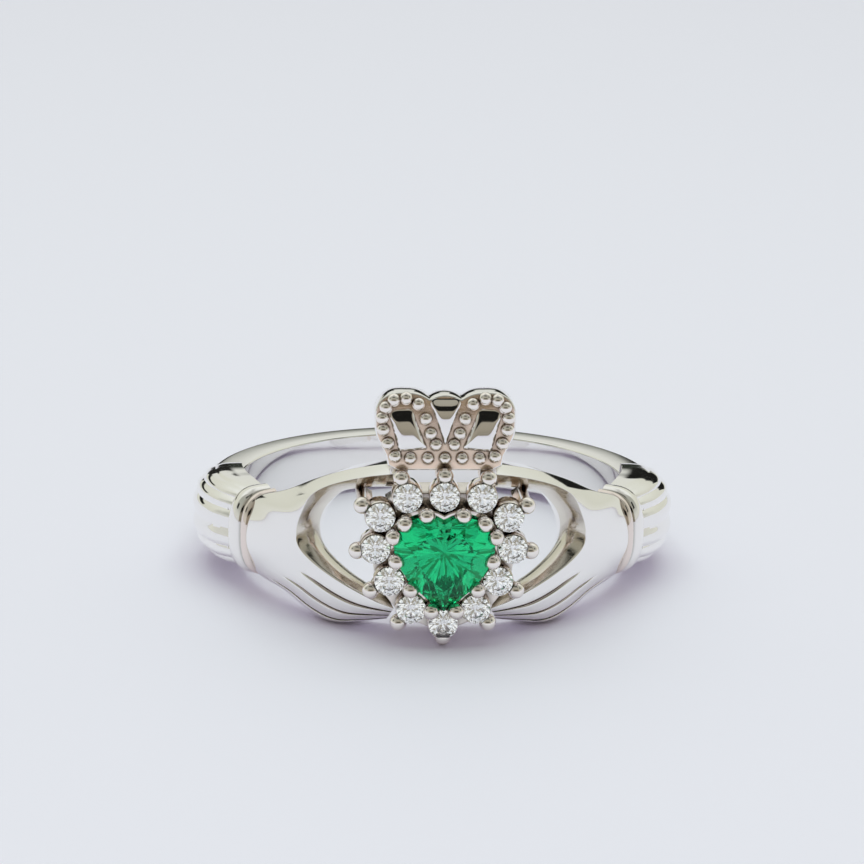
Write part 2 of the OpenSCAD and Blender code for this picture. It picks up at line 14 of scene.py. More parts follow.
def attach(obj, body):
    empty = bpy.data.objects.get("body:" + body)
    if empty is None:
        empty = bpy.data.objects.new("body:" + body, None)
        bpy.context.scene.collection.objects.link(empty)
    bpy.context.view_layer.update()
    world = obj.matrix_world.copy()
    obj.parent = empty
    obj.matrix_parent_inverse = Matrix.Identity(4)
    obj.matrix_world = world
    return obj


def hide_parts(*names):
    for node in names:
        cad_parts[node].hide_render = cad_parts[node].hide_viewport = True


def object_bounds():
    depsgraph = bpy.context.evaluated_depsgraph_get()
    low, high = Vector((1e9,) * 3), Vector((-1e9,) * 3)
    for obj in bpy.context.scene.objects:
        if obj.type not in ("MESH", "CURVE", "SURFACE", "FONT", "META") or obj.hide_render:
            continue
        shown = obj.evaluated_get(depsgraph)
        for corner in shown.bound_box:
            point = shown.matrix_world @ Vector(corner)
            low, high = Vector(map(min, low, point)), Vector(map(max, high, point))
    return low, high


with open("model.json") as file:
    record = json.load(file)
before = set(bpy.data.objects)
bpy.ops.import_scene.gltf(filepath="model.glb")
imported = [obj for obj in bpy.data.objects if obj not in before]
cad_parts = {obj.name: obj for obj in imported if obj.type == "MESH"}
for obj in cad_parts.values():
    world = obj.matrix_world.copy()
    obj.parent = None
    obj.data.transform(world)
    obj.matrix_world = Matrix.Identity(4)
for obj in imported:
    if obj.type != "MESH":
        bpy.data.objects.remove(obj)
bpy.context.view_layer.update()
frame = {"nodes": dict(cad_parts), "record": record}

# Sizes in millimetres

FINGER_R = 8.45
SHANK_R = 9.99
SHANK_W = 2.5
SHANK_ROUND = 0.3
SHANK_BEVEL = 0.1
COLLAR_L = 1.54
COLLAR_W = 3.88
COLLAR_H = 1.74
CUFF_L = 5.3
CUFF_W = 3.86
CUFF_H = 2.24
CUFF_RIBS = 8
CUFF_GROOVE = 0.13
HAND_L = 9.5
PALM_H = 1.98
HAND_EDGE_H = 1.05
HAND_RIM_H = 1.12
WALL_LEAN = 0.27
FINGER_GROOVE = 0.15
ROUND_D = 1.23
HALO_HALF_W = 2.84
HALO_H = 5.42
HALO_DROP = 2.33
HALO_RISE = 2.5
COLLET_WALL = 0.03
COLLET_DROP = 0.1
COLLET_SINK_SHARE = 0.25
CULET_HOLE_SHARE = 0.62
GALLERY_DROP = 0.75
GALLERY_EDGE = 0.05
OUTER_BALL_R = 0.36
OUTER_BALL_DROP = 0.28
INNER_BALL_R = 0.35
INNER_BALL_RISE = 0.3
PRONG_REACH = 0.83
STEM_SHARE = 0.62
ROOT_BALL_SHARE = 0.68
ROOT_SHARE = 0.35
ROOT_DROP_SHARE = 0.75
ARM_ROWS = 2
ARM_DROP = 0.02
FINGER_MARGIN = 0.71
TUCK_SHARE = 0.68
HEART_W = 4.18
HEART_H = 4.0
HEART_LIFT = 0.2
HEART_TOP_GAP = 0.185
HEART_CLEFT_SHARE = 0.07
RAIL_OUT = 0.27
RAIL_IN = 0.2
RAIL_DROP = 0.35
RAIL_EDGE = 0.08
CROWN_H = 3.22
CROWN_W = 5.6
CROWN_T = 1.15
CROWN_RISE = 1.95
CROWN_GAP = 0.38
BEAD_D = 0.56
PANEL_T = 0.2
PANEL_EDGE = 0.02

HALO_TOP = HALO_H - HALO_DROP
CROWN_BASE = HALO_TOP + ROUND_D / 2 + CROWN_GAP
CROWN_HALF = CROWN_W / 2
CROWN_Y = FINGER_R + CROWN_RISE
THUMB_RISE = CROWN_BASE
FINGER_DROP = HALO_DROP + FINGER_MARGIN
ROUND_Y = FINGER_R + HALO_RISE
HEART_Y = ROUND_Y + HEART_LIFT
OUTER_Y = ROUND_Y - OUTER_BALL_DROP
INNER_Y = ROUND_Y + INNER_BALL_RISE
PLATE_Y = ROUND_Y - GALLERY_DROP
ROOT_Y = PLATE_Y - ROOT_DROP_SHARE * ROUND_D
ROUND_R = ROUND_D / 2
HOLE_R = CULET_HOLE_SHARE * ROUND_R
COLLET_R = ROUND_R + COLLET_WALL
HEART_MIDDLE_Z = HALO_TOP - ROUND_R - HEART_TOP_GAP - HEART_H / 2

# The ring lies tilted on its hands and the back of its shank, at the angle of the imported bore
BORE_AXIS = frame["record"]["mounts"][0]["axis"]
REST_TILT = math.atan2(BORE_AXIS[1], BORE_AXIS[2])
AT_REST = Matrix.Rotation(-REST_TILT, 4, "X") @ Matrix.Scale(0.001, 4)


# Curves and sections

def mix(a, b, t):
    return a + (b - a) * t


def along(length):
    """Angle from the middle of the head of a length measured along the shank's outside."""
    return math.degrees(length / SHANK_R)


WRIST_A = along(HAND_L)
COLLAR_A = along(HAND_L + COLLAR_L)
CUFF_A = along(HAND_L + COLLAR_L + CUFF_L)
# The hands start under the halo, at a share of its half width
TUCK_A = along(TUCK_SHARE * HALO_HALF_W)


def on_ring(angle, r, z):
    a = math.radians(angle)
    return np.array([r * math.sin(a), -r * math.cos(a), z])


def row_at(rows, place):
    """Row of a table at a place between its rows, on a smooth curve through them."""
    last = len(rows) - 1
    i = min(int(math.floor(place)), last - 1)
    t = place - i
    a, b, c, d = (np.array(rows[k], float) for k in (max(i - 1, 0), i, i + 1, min(i + 2, last)))
    return b + 0.5 * t * ((c - a) + t * ((2 * a - 5 * b + 4 * c - d) + t * (3 * (b - c) + d - a)))


# Most of an edge that a corner's rounding takes
CORNER_SHARE = 0.45


def rounded(points, radii, steps=4):
    """Closed section with its marked corners rounded, each to the same number of points."""
    out = []
    for i, p in enumerate(points):
        if i not in radii:
            out.append(p)
            continue
        back = points[i - 1] - p
        ahead = points[(i + 1) % len(points)] - p
        back_l = np.linalg.norm(back)
        ahead_l = np.linalg.norm(ahead)
        cut = min(radii[i], CORNER_SHARE * back_l, CORNER_SHARE * ahead_l)
        start = p + back / back_l * cut
        end = p + ahead / ahead_l * cut
        for k in range(steps + 1):
            t = k / steps
            out.append((1 - t) ** 2 * start + 2 * t * (1 - t) * p + t * t * end)
    return out


# Meshes

# Angles between faces, in degrees, from which an edge stays sharp
SHARP_EDGE = 35
SHARP_RIB = 28
# Least cosine between a face's normal and straight ahead for it to count as a front
FRONT_FACING = 0.98


def closed_loft(loops, ring=False):
    """Vertices and faces of a closed solid through sections with as many points each. A ring joins its
    last section to its first, and any other solid gets a fan over each end."""
    count = len(loops[0])
    points = [tuple(p) for loop in loops for p in loop]
    faces = []
    for i in range(len(loops) - (0 if ring else 1)):
        k = (i + 1) % len(loops)
        for j in range(count):
            n = (j + 1) % count
            faces.append((i * count + j, i * count + n, k * count + n, k * count + j))
    if not ring:
        for start, loop in ((0, loops[0]), ((len(loops) - 1) * count, loops[-1])):
            middle = len(points)
            points.append(tuple(np.mean(np.array(loop), axis=0)))
            faces += [(start + (j + 1) % count, start + j, middle) for j in range(count)]
    return points, faces


def as_mesh(name, points, faces):
    mesh = bpy.data.meshes.new(name)
    mesh.from_pydata([tuple(p) for p in points], [], faces)
    shape = bmesh.new()
    shape.from_mesh(mesh)
    bmesh.ops.remove_doubles(shape, verts=shape.verts, dist=1e-6)
    bmesh.ops.recalc_face_normals(shape, faces=shape.faces)
    shape.to_mesh(mesh)
    shape.free()
    return mesh


def merged(parts):
    """One list of vertices and faces from several."""
    points, faces = [], []
    for part_points, part_faces in parts:
        shift = len(points)
        points += list(part_points)
        faces += [tuple(i + shift for i in face) for face in part_faces]
    return points, faces


def mirrored(part):
    points, faces = part
    return [(-p[0], p[1], p[2]) for p in points], [tuple(reversed(f)) for f in faces]


def add_piece(name, mesh, material, sharp=SHARP_EDGE):
    """Lays a mesh in the ring's millimetres down at rest, and makes it a piece of the ring."""
    mesh.transform(AT_REST)
    mesh.materials.clear()
    mesh.materials.append(material)
    mesh.shade_smooth()
    mesh.set_sharp_from_angle(angle=math.radians(sharp))
    piece = bpy.data.objects.new(name, mesh)
    bpy.context.scene.collection.objects.link(piece)
    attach(piece, "root")
    return piece


def add_part(name, part, material, sharp=SHARP_EDGE):
    """Makes a piece of the ring from vertices and faces."""
    return add_piece(name, as_mesh(name, *part), material, sharp=sharp)


def paint_wall_reflection(piece, material):
    """Gives the outer half of a hand's wall round the opening a satin finish, whose darker tan colour is a
    painted reflection of the halo and gallery.
    """
    piece.data.materials.append(material)
    count = len(hand_loop(0))
    for i, face in enumerate(piece.data.polygons[:HAND_STEPS * count]):
        if WALL_STEPS // 2 < i % count < WALL_STEPS + CREST_STEPS + 1:
            face.material_index = 1


def paint_collar_reflection(piece, material):
    """Gives a collar's band next to the hand a painted rosy reflection of the hand."""
    piece.data.materials.append(material)
    for face in piece.data.polygons[:COLLAR_BAND * len(collar_loop(0))]:
        face.material_index = 1


def finish_front(piece, material):
    """Gives the faces that look away from the finger their own finish."""
    piece.data.materials.append(material)
    front = (AT_REST.to_3x3() @ Vector((0, -1, 0))).normalized()
    for face in piece.data.polygons:
        if face.normal.dot(front) > FRONT_FACING:
            face.material_index = 1


def trim_to_finger(mesh):
    """Backs that reach into the finger hole follow its wall instead."""
    for v in mesh.vertices:
        if math.hypot(v.co.x, v.co.y) < FINGER_R and v.co.y < 0:
            v.co.y = -math.sqrt(FINGER_R ** 2 - v.co.x ** 2)


# Finishes

def material_tree(name):
    material = bpy.data.materials.new(name)
    material.use_nodes = True
    nodes = material.node_tree.nodes
    nodes.clear()
    out = nodes.new("ShaderNodeOutputMaterial")
    shader = nodes.new("ShaderNodeBsdfPrincipled")
    material.node_tree.links.new(shader.outputs["BSDF"], out.inputs["Surface"])
    return material, nodes, material.node_tree.links, shader


def noise_on_object(nodes, links, scale, detail, stretch=(1, 1, 1)):
    place = nodes.new("ShaderNodeTexCoord")
    mapping = nodes.new("ShaderNodeMapping")
    mapping.inputs["Scale"].default_value = stretch
    noise = nodes.new("ShaderNodeTexNoise")
    noise.inputs["Scale"].default_value = scale
    noise.inputs["Detail"].default_value = detail
    links.new(place.outputs["Object"], mapping.inputs["Vector"])
    links.new(mapping.outputs["Vector"], noise.inputs["Vector"])
    return noise


# Polishing marks: noise scale per metre and along each axis, the part of the noise's values that is used,
# and the shares of a finish's roughness that it spreads over
MARK_SCALE = 2600
MARK_STRETCH = (1, 1, 5)
MARK_RANGE = (0.35, 0.7)
ROUGH_RANGE = (0.7, 1.6)
# Waves: noise scale per metre, depth in metres and strength
WAVE_SCALE = 700
WAVE_DEPTH = 0.00002
WAVE_STRENGTH = 0.12
# Painted shade in recesses, which also stands for the oxide in them: how far one looks for a wall, in metres,
# the openness at which it is darkest and at which it ends, and the tint that it darkens towards
SHADE_AND_OXIDE_REACH = 0.0003
SHADE_AND_OXIDE_RANGE = (0.25, 0.92)
SHADE_AND_OXIDE_TINT = (1.0, 0.86, 0.76)


def polished_silver(name, color, rough, shade_and_oxide=0.0):
    """Cast silver with a hand polish: slow waves, faint polishing marks and, where asked, painted shade in
    its recesses that also stands for their oxide.
    """
    material, nodes, links, shader = material_tree(name)
    shader.inputs["Metallic"].default_value = 1.0
    marks = noise_on_object(nodes, links, MARK_SCALE, 3, MARK_STRETCH)
    spread = nodes.new("ShaderNodeMapRange")
    for end, value, share in zip(("Min", "Max"), MARK_RANGE, ROUGH_RANGE):
        spread.inputs["From " + end].default_value = value
        spread.inputs["To " + end].default_value = rough * share
    links.new(marks.outputs["Fac"], spread.inputs["Value"])
    links.new(spread.outputs["Result"], shader.inputs["Roughness"])
    waves = noise_on_object(nodes, links, WAVE_SCALE, 1)
    bump = nodes.new("ShaderNodeBump")
    bump.inputs["Strength"].default_value = WAVE_STRENGTH
    bump.inputs["Distance"].default_value = WAVE_DEPTH
    links.new(waves.outputs["Fac"], bump.inputs["Height"])
    links.new(bump.outputs["Normal"], shader.inputs["Normal"])
    # Painted shade: the colour darkens towards a brown tint where ambient occlusion finds walls close by, and
    # also stands for oxide in the hollows
    if shade_and_oxide:
        shade = nodes.new("ShaderNodeAmbientOcclusion")
        shade.samples = 8
        shade.inputs["Distance"].default_value = SHADE_AND_OXIDE_REACH
        dark = tuple(c * (1 - shade_and_oxide) * tint for c, tint in zip(color, SHADE_AND_OXIDE_TINT))
        ramp = nodes.new("ShaderNodeValToRGB")
        for stop, place, shown in zip(ramp.color_ramp.elements, SHADE_AND_OXIDE_RANGE, (dark, color)):
            stop.position = place
            stop.color = shown + (1,)
        links.new(shade.outputs["AO"], ramp.inputs["Fac"])
        links.new(ramp.outputs["Color"], shader.inputs["Base Color"])
    else:
        shader.inputs["Base Color"].default_value = color + (1,)
    return material


def cut_stone(name, color, ior, clear, shine):
    material, nodes, links, shader = material_tree(name)
    shader.inputs["Base Color"].default_value = color + (1,)
    shader.inputs["Roughness"].default_value = 0.0
    shader.inputs["IOR"].default_value = ior
    shader.inputs["Transmission Weight"].default_value = clear
    shader.inputs["Specular Tint"].default_value = shine + (1,)
    return material


# A recess share gives a metal painted shade in its recesses, which also stands for oxide there
SILVER = polished_silver("polished_silver", (0.93, 0.915, 0.905), 0.05)
CAST_SILVER = polished_silver("cast_silver", (0.95, 0.90, 0.86), 0.06, shade_and_oxide=0.65)
GROUND_SILVER = polished_silver("ground_silver", (0.94, 0.76, 0.62), 0.18, shade_and_oxide=0.95)
GALLERY_SILVER = polished_silver("gallery_silver", (0.86, 0.80, 0.75), 0.12, shade_and_oxide=0.9)
HAND_SILVER = polished_silver("hand_silver", (0.93, 0.915, 0.905), 0.05, shade_and_oxide=0.5)
# Silver for the outer half of the hands' opening walls: its roughness is a satin finish, and its darker tan
# colour is a painted reflection of the halo and gallery
SATIN_REFLECTION_SILVER = polished_silver("satin_reflection_silver", (0.75, 0.71, 0.64), 0.17, shade_and_oxide=0.5)
COLLAR_SILVER = polished_silver("collar_silver", (0.93, 0.91, 0.89), 0.05, shade_and_oxide=0.85)
# Rosy silver for the collars' bands next to the hands: its tint is a painted reflection of the hands
ROSE_REFLECTION_SILVER = polished_silver("rose_reflection_silver", (0.86, 0.77, 0.72), 0.06, shade_and_oxide=0.75)
HEART_GREEN = cut_stone("heart_stone_green", (0.01, 0.52, 0.18), 2.2, 1.0, (0.12, 0.7, 0.36))
HALO_CLEAR = cut_stone("halo_stone_clear", (0.97, 0.97, 0.97), 2.2, 1.0, (1.0, 1.0, 1.0))


# Shank, cuffs and collars

CORNER_STEPS = 7
SHANK_STEPS = 180
# The shank ends inside the cuffs, this many degrees from the collars
SHANK_START_A = 1


def shank():
    half_w = SHANK_W / 2
    corners = [(FINGER_R, -half_w), (SHANK_R, -half_w), (SHANK_R, half_w), (FINGER_R, half_w)]
    section = rounded([np.array(c) for c in corners],
                      {0: SHANK_BEVEL, 1: SHANK_ROUND, 2: SHANK_ROUND, 3: SHANK_BEVEL}, CORNER_STEPS)
    start = COLLAR_A + SHANK_START_A
    angles = [mix(start, 360 - start, i / SHANK_STEPS) for i in range(SHANK_STEPS + 1)]
    return closed_loft([[on_ring(a, r, z) for r, z in section] for a in angles])


# Powers that round a band's outside: its rise over the finger, and its width
BAND_RISE_POWER = 0.62
BAND_WIDTH_POWER = 0.8


def band_loop(angle, in_r, r, half_w, ribs=0, groove=0, steps=128):
    """Section across a band with a rounded outside, a flat back and grooves between any ribs."""
    loop = []
    for i in range(steps + 1):
        f = math.pi * (i / steps - 0.5)
        cut = groove * (1 - abs(math.sin(f * ribs))) * math.cos(f) if ribs else 0
        rise = max(math.cos(f), 0) ** BAND_RISE_POWER
        side = math.copysign(abs(math.sin(f)) ** BAND_WIDTH_POWER, math.sin(f))
        loop.append(on_ring(angle, in_r + (r - in_r - cut) * rise, (half_w - cut / 2) * side))
    return loop


# Sections of a cuff from the collar backwards: share of its length, of its height and of its width
CUFF_ROWS = [
    [-0.04, 0.70, 0.93],
    [0.08, 0.80, 0.97],
    [0.22, 0.91, 1.00],
    [0.40, 0.98, 1.00],
    [0.58, 1.00, 1.00],
    [0.75, 0.97, 0.98],
    [0.90, 0.92, 0.95],
    [0.97, 0.80, 0.86],
    [1.00, 0.66, 0.72],
]


CUFF_STEPS = 96
# How far outside the finger's wall the backs of cuffs and collars lie, so that no two share a face
CUFF_BACK = 0.004
COLLAR_BACK = 0.008


def cuff():
    loops = []
    for i in range(CUFF_STEPS + 1):
        share, height, width = row_at(CUFF_ROWS, i / CUFF_STEPS * (len(CUFF_ROWS) - 1))
        loops.append(band_loop(mix(COLLAR_A, CUFF_A, share), FINGER_R + CUFF_BACK, FINGER_R + CUFF_H * height,
                               CUFF_W / 2 * width, CUFF_RIBS, CUFF_GROOVE))
    return closed_loft(loops)


# Sections of a collar from the wrist to the cuff: share of its length and of its size
COLLAR_ROWS = [
    [-0.02, 0.88],
    [0.04, 0.94],
    [0.16, 0.97],
    [0.28, 0.94],
    [0.34, 0.90],
    [0.40, 0.95],
    [0.56, 1.00],
    [0.76, 1.00],
    [0.92, 0.96],
    [1.01, 0.88],
]


COLLAR_STEPS = 54
# Steps from the wrist that make up the band next to the hand, which gets a painted rosy reflection of the
# hand
COLLAR_BAND = 24


def collar_loop(place):
    share, size = row_at(COLLAR_ROWS, place)
    return band_loop(mix(WRIST_A, COLLAR_A, share), FINGER_R + COLLAR_BACK, FINGER_R + COLLAR_H * size,
                     COLLAR_W / 2 * size)


def collar():
    last = len(COLLAR_ROWS) - 1
    return closed_loft([collar_loop(i / COLLAR_STEPS * last) for i in range(COLLAR_STEPS + 1)])


# Hands

# Sections of a hand, from the thumb's tip round its opening to the fingertips. Columns: along and across
# for the opening's rim, for the crest and for the outer edge, then the crest's height as a share of PALM_H,
# the outer edge's as a share of HAND_EDGE_H, the bulge between them in millimetres, and how far the
# opening's wall slopes towards the head at the finger, as a share of HAND_RIM_H. Along is a share of the
# way from TUCK_A to the wrist. Across is a share of the thumb's rise, or of the fingers' drop.
HAND_ROWS = [
    [-0.03, 0.78, -0.03, 0.95, -0.03, 1.02, 0.89, 0.95, 0.02, 0.00],
    [0.05, 0.775, 0.05, 0.93, 0.05, 1.00, 0.90, 0.95, 0.03, 0.00],
    [0.15, 0.76, 0.16, 0.895, 0.16, 0.965, 0.92, 0.95, 0.03, 0.00],
    [0.24, 0.727, 0.28, 0.835, 0.28, 0.915, 0.94, 0.95, 0.04, 0.02],
    [0.343, 0.683, 0.39, 0.755, 0.41, 0.84, 0.96, 0.95, 0.06, 0.08],
    [0.418, 0.585, 0.485, 0.635, 0.57, 0.725, 0.98, 0.95, 0.10, 0.18],
    [0.481, 0.462, 0.535, 0.45, 0.76, 0.565, 1.00, 0.97, 0.10, 0.26],
    [0.512, 0.34, 0.568, 0.30, 1.02, 0.41, 1.00, 1.00, 0.02, 0.28],
    [0.511, 0.235, 0.57, 0.165, 1.02, 0.15, 1.00, 1.48, -0.06, 0.20],
    [0.487, 0.115, 0.54, 0.05, 1.02, -0.20, 1.00, 1.48, -0.04, 0.10],
    [0.438, 0.008, 0.463, -0.08, 1.02, -0.54, 0.99, 1.00, 0.08, 0.04],
    [0.363, -0.12, 0.38, -0.20, 0.77, -0.68, 0.98, 0.95, 0.22, 0.00],
    [0.28, -0.25, 0.28, -0.33, 0.60, -0.88, 0.96, 0.95, 0.26, 0.00],
    [0.193, -0.36, 0.18, -0.45, 0.42, -1.01, 0.94, 0.98, 0.24, 0.00],
    [0.13, -0.44, 0.10, -0.55, 0.24, -0.94, 0.92, 1.04, 0.20, 0.00],
    [0.06, -0.50, 0.00, -0.64, 0.05, -0.85, 0.90, 1.06, 0.12, 0.00],
]
# Shares across the back of a hand at which its fingers meet, and of the points between crest and outer edge
FINGER_MARKS = [0, 0.27, 0.58, 0.86, 1.00]
EVEN_SHARES = [round(mix(0.06, 0.95, i / 80), 4) for i in range(81)]
GROOVE_SHARES = [mark + step for mark in FINGER_MARKS[1:4] for step in (-0.014, -0.005, 0, 0.005, 0.014)]
HAND_SHARES = sorted(set(EVEN_SHARES + GROOVE_SHARES))
# Rows between which the knuckles rise, and the depth and sharpness of the grooves between them
KNUCKLE_START = 10.2
KNUCKLE_FULL = 11.6
GROOVE_DEPTH = 1.15 * FINGER_GROOVE
GROOVE_POWER = 9
# Share of a thumb's rise and of the fingers' drop within which the two blend
MIDDLE_BLEND = 0.12
# How far past its corner the curve of an opening's wall is pulled, so that it passes close to it
WALL_PULL = 0.8
# Weights by which a row is evened out with the places beside it
ROW_WEIGHTS = [(-0.5, 1 / 16), (-0.25, 4 / 16), (0, 6 / 16), (0.25, 4 / 16), (0.5, 1 / 16)]
# Radii of a hand's edges: at the foot of the opening's wall, along the crest, outside and at the finger
RIM_ROUND = 0.04
CREST_ROUND = 0.15
EDGE_ROUND = 0.2
BACK_ROUND = 0.06
# Points up the opening's wall, those of them that the crest's rounding replaces, and sections of a hand
WALL_STEPS = 24
CREST_STEPS = 4
HAND_STEPS = 180


def across(share):
    """Height over the head's middle: a share of the thumb's rise above it, or of the fingers' drop below."""
    size = abs(share)
    if size < MIDDLE_BLEND:
        size = (share ** 2 / MIDDLE_BLEND + MIDDLE_BLEND) / 2
    return share * (THUMB_RISE + FINGER_DROP) / 2 + size * (THUMB_RISE - FINGER_DROP) / 2


def hand_row(place):
    """Row of the hand at a place between its rows, evened out over half a row each way."""
    last = len(HAND_ROWS) - 1
    return sum(weight * row_at(HAND_ROWS, min(max(place + step, 0), last)) for step, weight in ROW_WEIGHTS)


def hand_angle(share):
    return mix(TUCK_A, WRIST_A, share)


def finger_dip(share):
    """Depth of the grooves between the fingers at a share across the back of the hand, from 0 to 1."""
    k = max(i for i in range(4) if FINGER_MARKS[i] <= share)
    t = (share - FINGER_MARKS[k]) / (FINGER_MARKS[k + 1] - FINGER_MARKS[k])
    return 0 if k == 0 and t < 0.5 else abs(2 * t - 1) ** GROOVE_POWER


def rise_between(value, low, high):
    t = min(max((value - low) / (high - low), 0), 1)
    return t * t * (3 - 2 * t)


def hand_point(row, share, fade):
    h = mix(PALM_H * row[6], HAND_EDGE_H * row[7], share) + row[8] * 4 * share * (1 - share)
    return on_ring(hand_angle(mix(row[2], row[4], share)),
                   FINGER_R + h - fade * GROOVE_DEPTH * finger_dip(share),
                   mix(across(row[3]), across(row[5]), share))


def bulged(a, corner, b, steps):
    """Smooth convex curve from a to b that passes close to the corner between them."""
    pull = corner + WALL_PULL * (corner - (a + b) / 2)
    shares = [k / steps for k in range(1, steps)]
    return [(1 - t) ** 2 * a + 2 * t * (1 - t) * pull + t * t * b for t in shares]


def hand_loop(place):
    row = hand_row(place)
    fade = rise_between(place, KNUCKLE_START, KNUCKLE_FULL)
    rim_a = hand_angle(row[0])
    rim_r = FINGER_R + HAND_RIM_H
    rim_in_x = math.sin(math.radians(rim_a)) * rim_r - row[9] * HAND_RIM_H
    rim_in_a = math.degrees(math.asin(rim_in_x / FINGER_R))
    rim_z = across(row[1])
    rim_in = on_ring(rim_in_a, FINGER_R, rim_z - WALL_LEAN * HAND_RIM_H)
    crest = on_ring(hand_angle(row[2]), FINGER_R + PALM_H * row[6], across(row[3]))
    points = [rim_in] + bulged(rim_in, on_ring(rim_a, rim_r, rim_z), crest, WALL_STEPS)[:-CREST_STEPS]
    crest_at = len(points)
    points.append(crest)
    points += [hand_point(row, share, fade) for share in HAND_SHARES]
    edge = len(points)
    points.append(hand_point(row, 1, fade))
    points.append(on_ring(hand_angle(row[4]), FINGER_R, across(row[5])))
    radii = {0: RIM_ROUND, crest_at: CREST_ROUND, edge: EDGE_ROUND, edge + 1: BACK_ROUND}
    return rounded(points, radii, CORNER_STEPS)


def hand():
    last = len(HAND_ROWS) - 1
    return closed_loft([hand_loop(i / HAND_STEPS * last) for i in range(HAND_STEPS + 1)])


# Halo setting

# Halo stones from the top one down one side. Columns: place across as a share of the halo's half width,
# place up as a share of its height, reach of the outer prong as a share of PRONG_REACH, and, as shares of
# ROUND_D, reach inwards of the inner prong that follows this stone and reach outwards of the gallery
HALO_ROWS = [
    [0.000, 1.000, 0.98, 0.58, 0.02],
    [0.542, 0.991, 0.97, 0.63, 0.02],
    [0.933, 0.841, 1.04, 0.53, 0.05],
    [1.000, 0.590, 0.90, 0.51, 0.15],
    [0.792, 0.338, 1.05, 0.43, 0.50],
    [0.472, 0.118, 0.98, 0.29, 0.50],
    [0.000, 0.000, 0.73, 0.29, 0.50],
]
HALO_SIDE = len(HALO_ROWS) - 1
ROUND_COUNT = 12


def halo_row(i):
    i %= ROUND_COUNT
    return i if i <= HALO_SIDE else ROUND_COUNT - i


def halo_spot(i):
    row = HALO_ROWS[halo_row(i)]
    side = 1 if i % ROUND_COUNT <= HALO_SIDE else -1
    return np.array([side * row[0] * HALO_HALF_W, row[1] * HALO_H - HALO_DROP])


def outward(a, b):
    v = np.array([a[1] - b[1], b[0] - a[0]])
    return v / np.linalg.norm(v)


def reach_spot(i, reach):
    return halo_spot(i) + reach * outward(halo_spot(i - 1), halo_spot(i + 1))


def outer_spot(i):
    return reach_spot(i, PRONG_REACH * HALO_ROWS[halo_row(i)][2])


def inner_spot(i):
    row = i if i < HALO_SIDE else ROUND_COUNT - 1 - i
    middle = (halo_spot(i) + halo_spot(i + 1)) / 2
    return middle - ROUND_D * HALO_ROWS[row][3] * outward(halo_spot(i), halo_spot(i + 1))


def circle_angles(count):
    return [2 * math.pi * i / count for i in range(count)]


# Points round a collet or a hole
ROUND_STEPS = 48
# Radius at the front of a collet's inner edge, as a share of its stone's
SEAT_SHARE = 0.82


def collet_profile():
    """Short cup of one round stone: radius and distance in front of its girdle."""
    front = -COLLET_DROP
    back = -GALLERY_DROP - COLLET_SINK_SHARE * ROUND_D
    seat_r = ROUND_R * SEAT_SHARE
    return [(COLLET_R, back), (COLLET_R, front - 0.05), (COLLET_R - 0.02, front - 0.015),
            (COLLET_R - 0.06, front), (seat_r + 0.02, front), (seat_r, front - 0.01),
            (HOLE_R, front - 0.14), (HOLE_R, back)]


def collet_template():
    profile = collet_profile()
    return closed_loft([[(r * math.cos(a), -t, r * math.sin(a)) for r, t in profile]
                        for a in circle_angles(ROUND_STEPS)], ring=True)


def wall_loop(low, high, front, radius, steps):
    """Section of an upright wall on the head, from the finger's hole to its front with rounded edges."""
    loop = []
    for spot, y in ((low, None), (low, front), (high, front), (high, None)):
        back = math.sqrt(FINGER_R ** 2 - spot[0] ** 2)
        loop.append(np.array([spot[0], -(back if y is None else y), spot[1]]))
    return rounded(loop, {1: radius, 2: radius}, steps)


def wall_between(a, b, width, front, skip=0, steps=8):
    """Upright wall on the head between two spots, which may skip a distance from the first."""
    run = b - a
    length = np.linalg.norm(run)
    run = run / length
    side = np.array([-run[1], run[0]]) * width / 2
    loops = []
    for i in range(steps + 1):
        middle = a + run * mix(skip, length, i / steps)
        loops.append(wall_loop(middle - side, middle + side, front, GALLERY_EDGE, 3))
    return closed_loft(loops)


def upright_prongs():
    return [i for i in range(ROUND_COUNT) if halo_row(i) <= ARM_ROWS]


def leaning_prongs():
    return [i for i in range(ROUND_COUNT) if halo_row(i) > ARM_ROWS]


# How far from its stone's middle an arm starts
ARM_START = 0.42


def prong_arms():
    return merged([wall_between(halo_spot(i), outer_spot(i), OUTER_BALL_R, PLATE_Y - ARM_DROP, ARM_START)
                   for i in upright_prongs()])


def upright_band(outer, inner, front, radius):
    """Closed wall round the head between two outlines, from the finger's hole to a distance in front."""
    loops = [wall_loop(out, within, front, radius, 4) for out, within in zip(outer, inner)]
    return closed_loft(loops, ring=True)


def gallery_outline(reaches, steps=8):
    """Outline through the spots at each stone's own reach outwards."""
    spots = [reach_spot(i, reaches[i]) for i in range(ROUND_COUNT)]
    return [mix(spot, spots[(i + 1) % ROUND_COUNT], k / steps)
            for i, spot in enumerate(spots) for k in range(steps)]


# How much wider a gallery's hole is than its collet's, and how far the drill runs past the gallery each way
HOLE_GAP = 0.004
DRILL_BACK = 1.5
DRILL_FRONT = 0.5


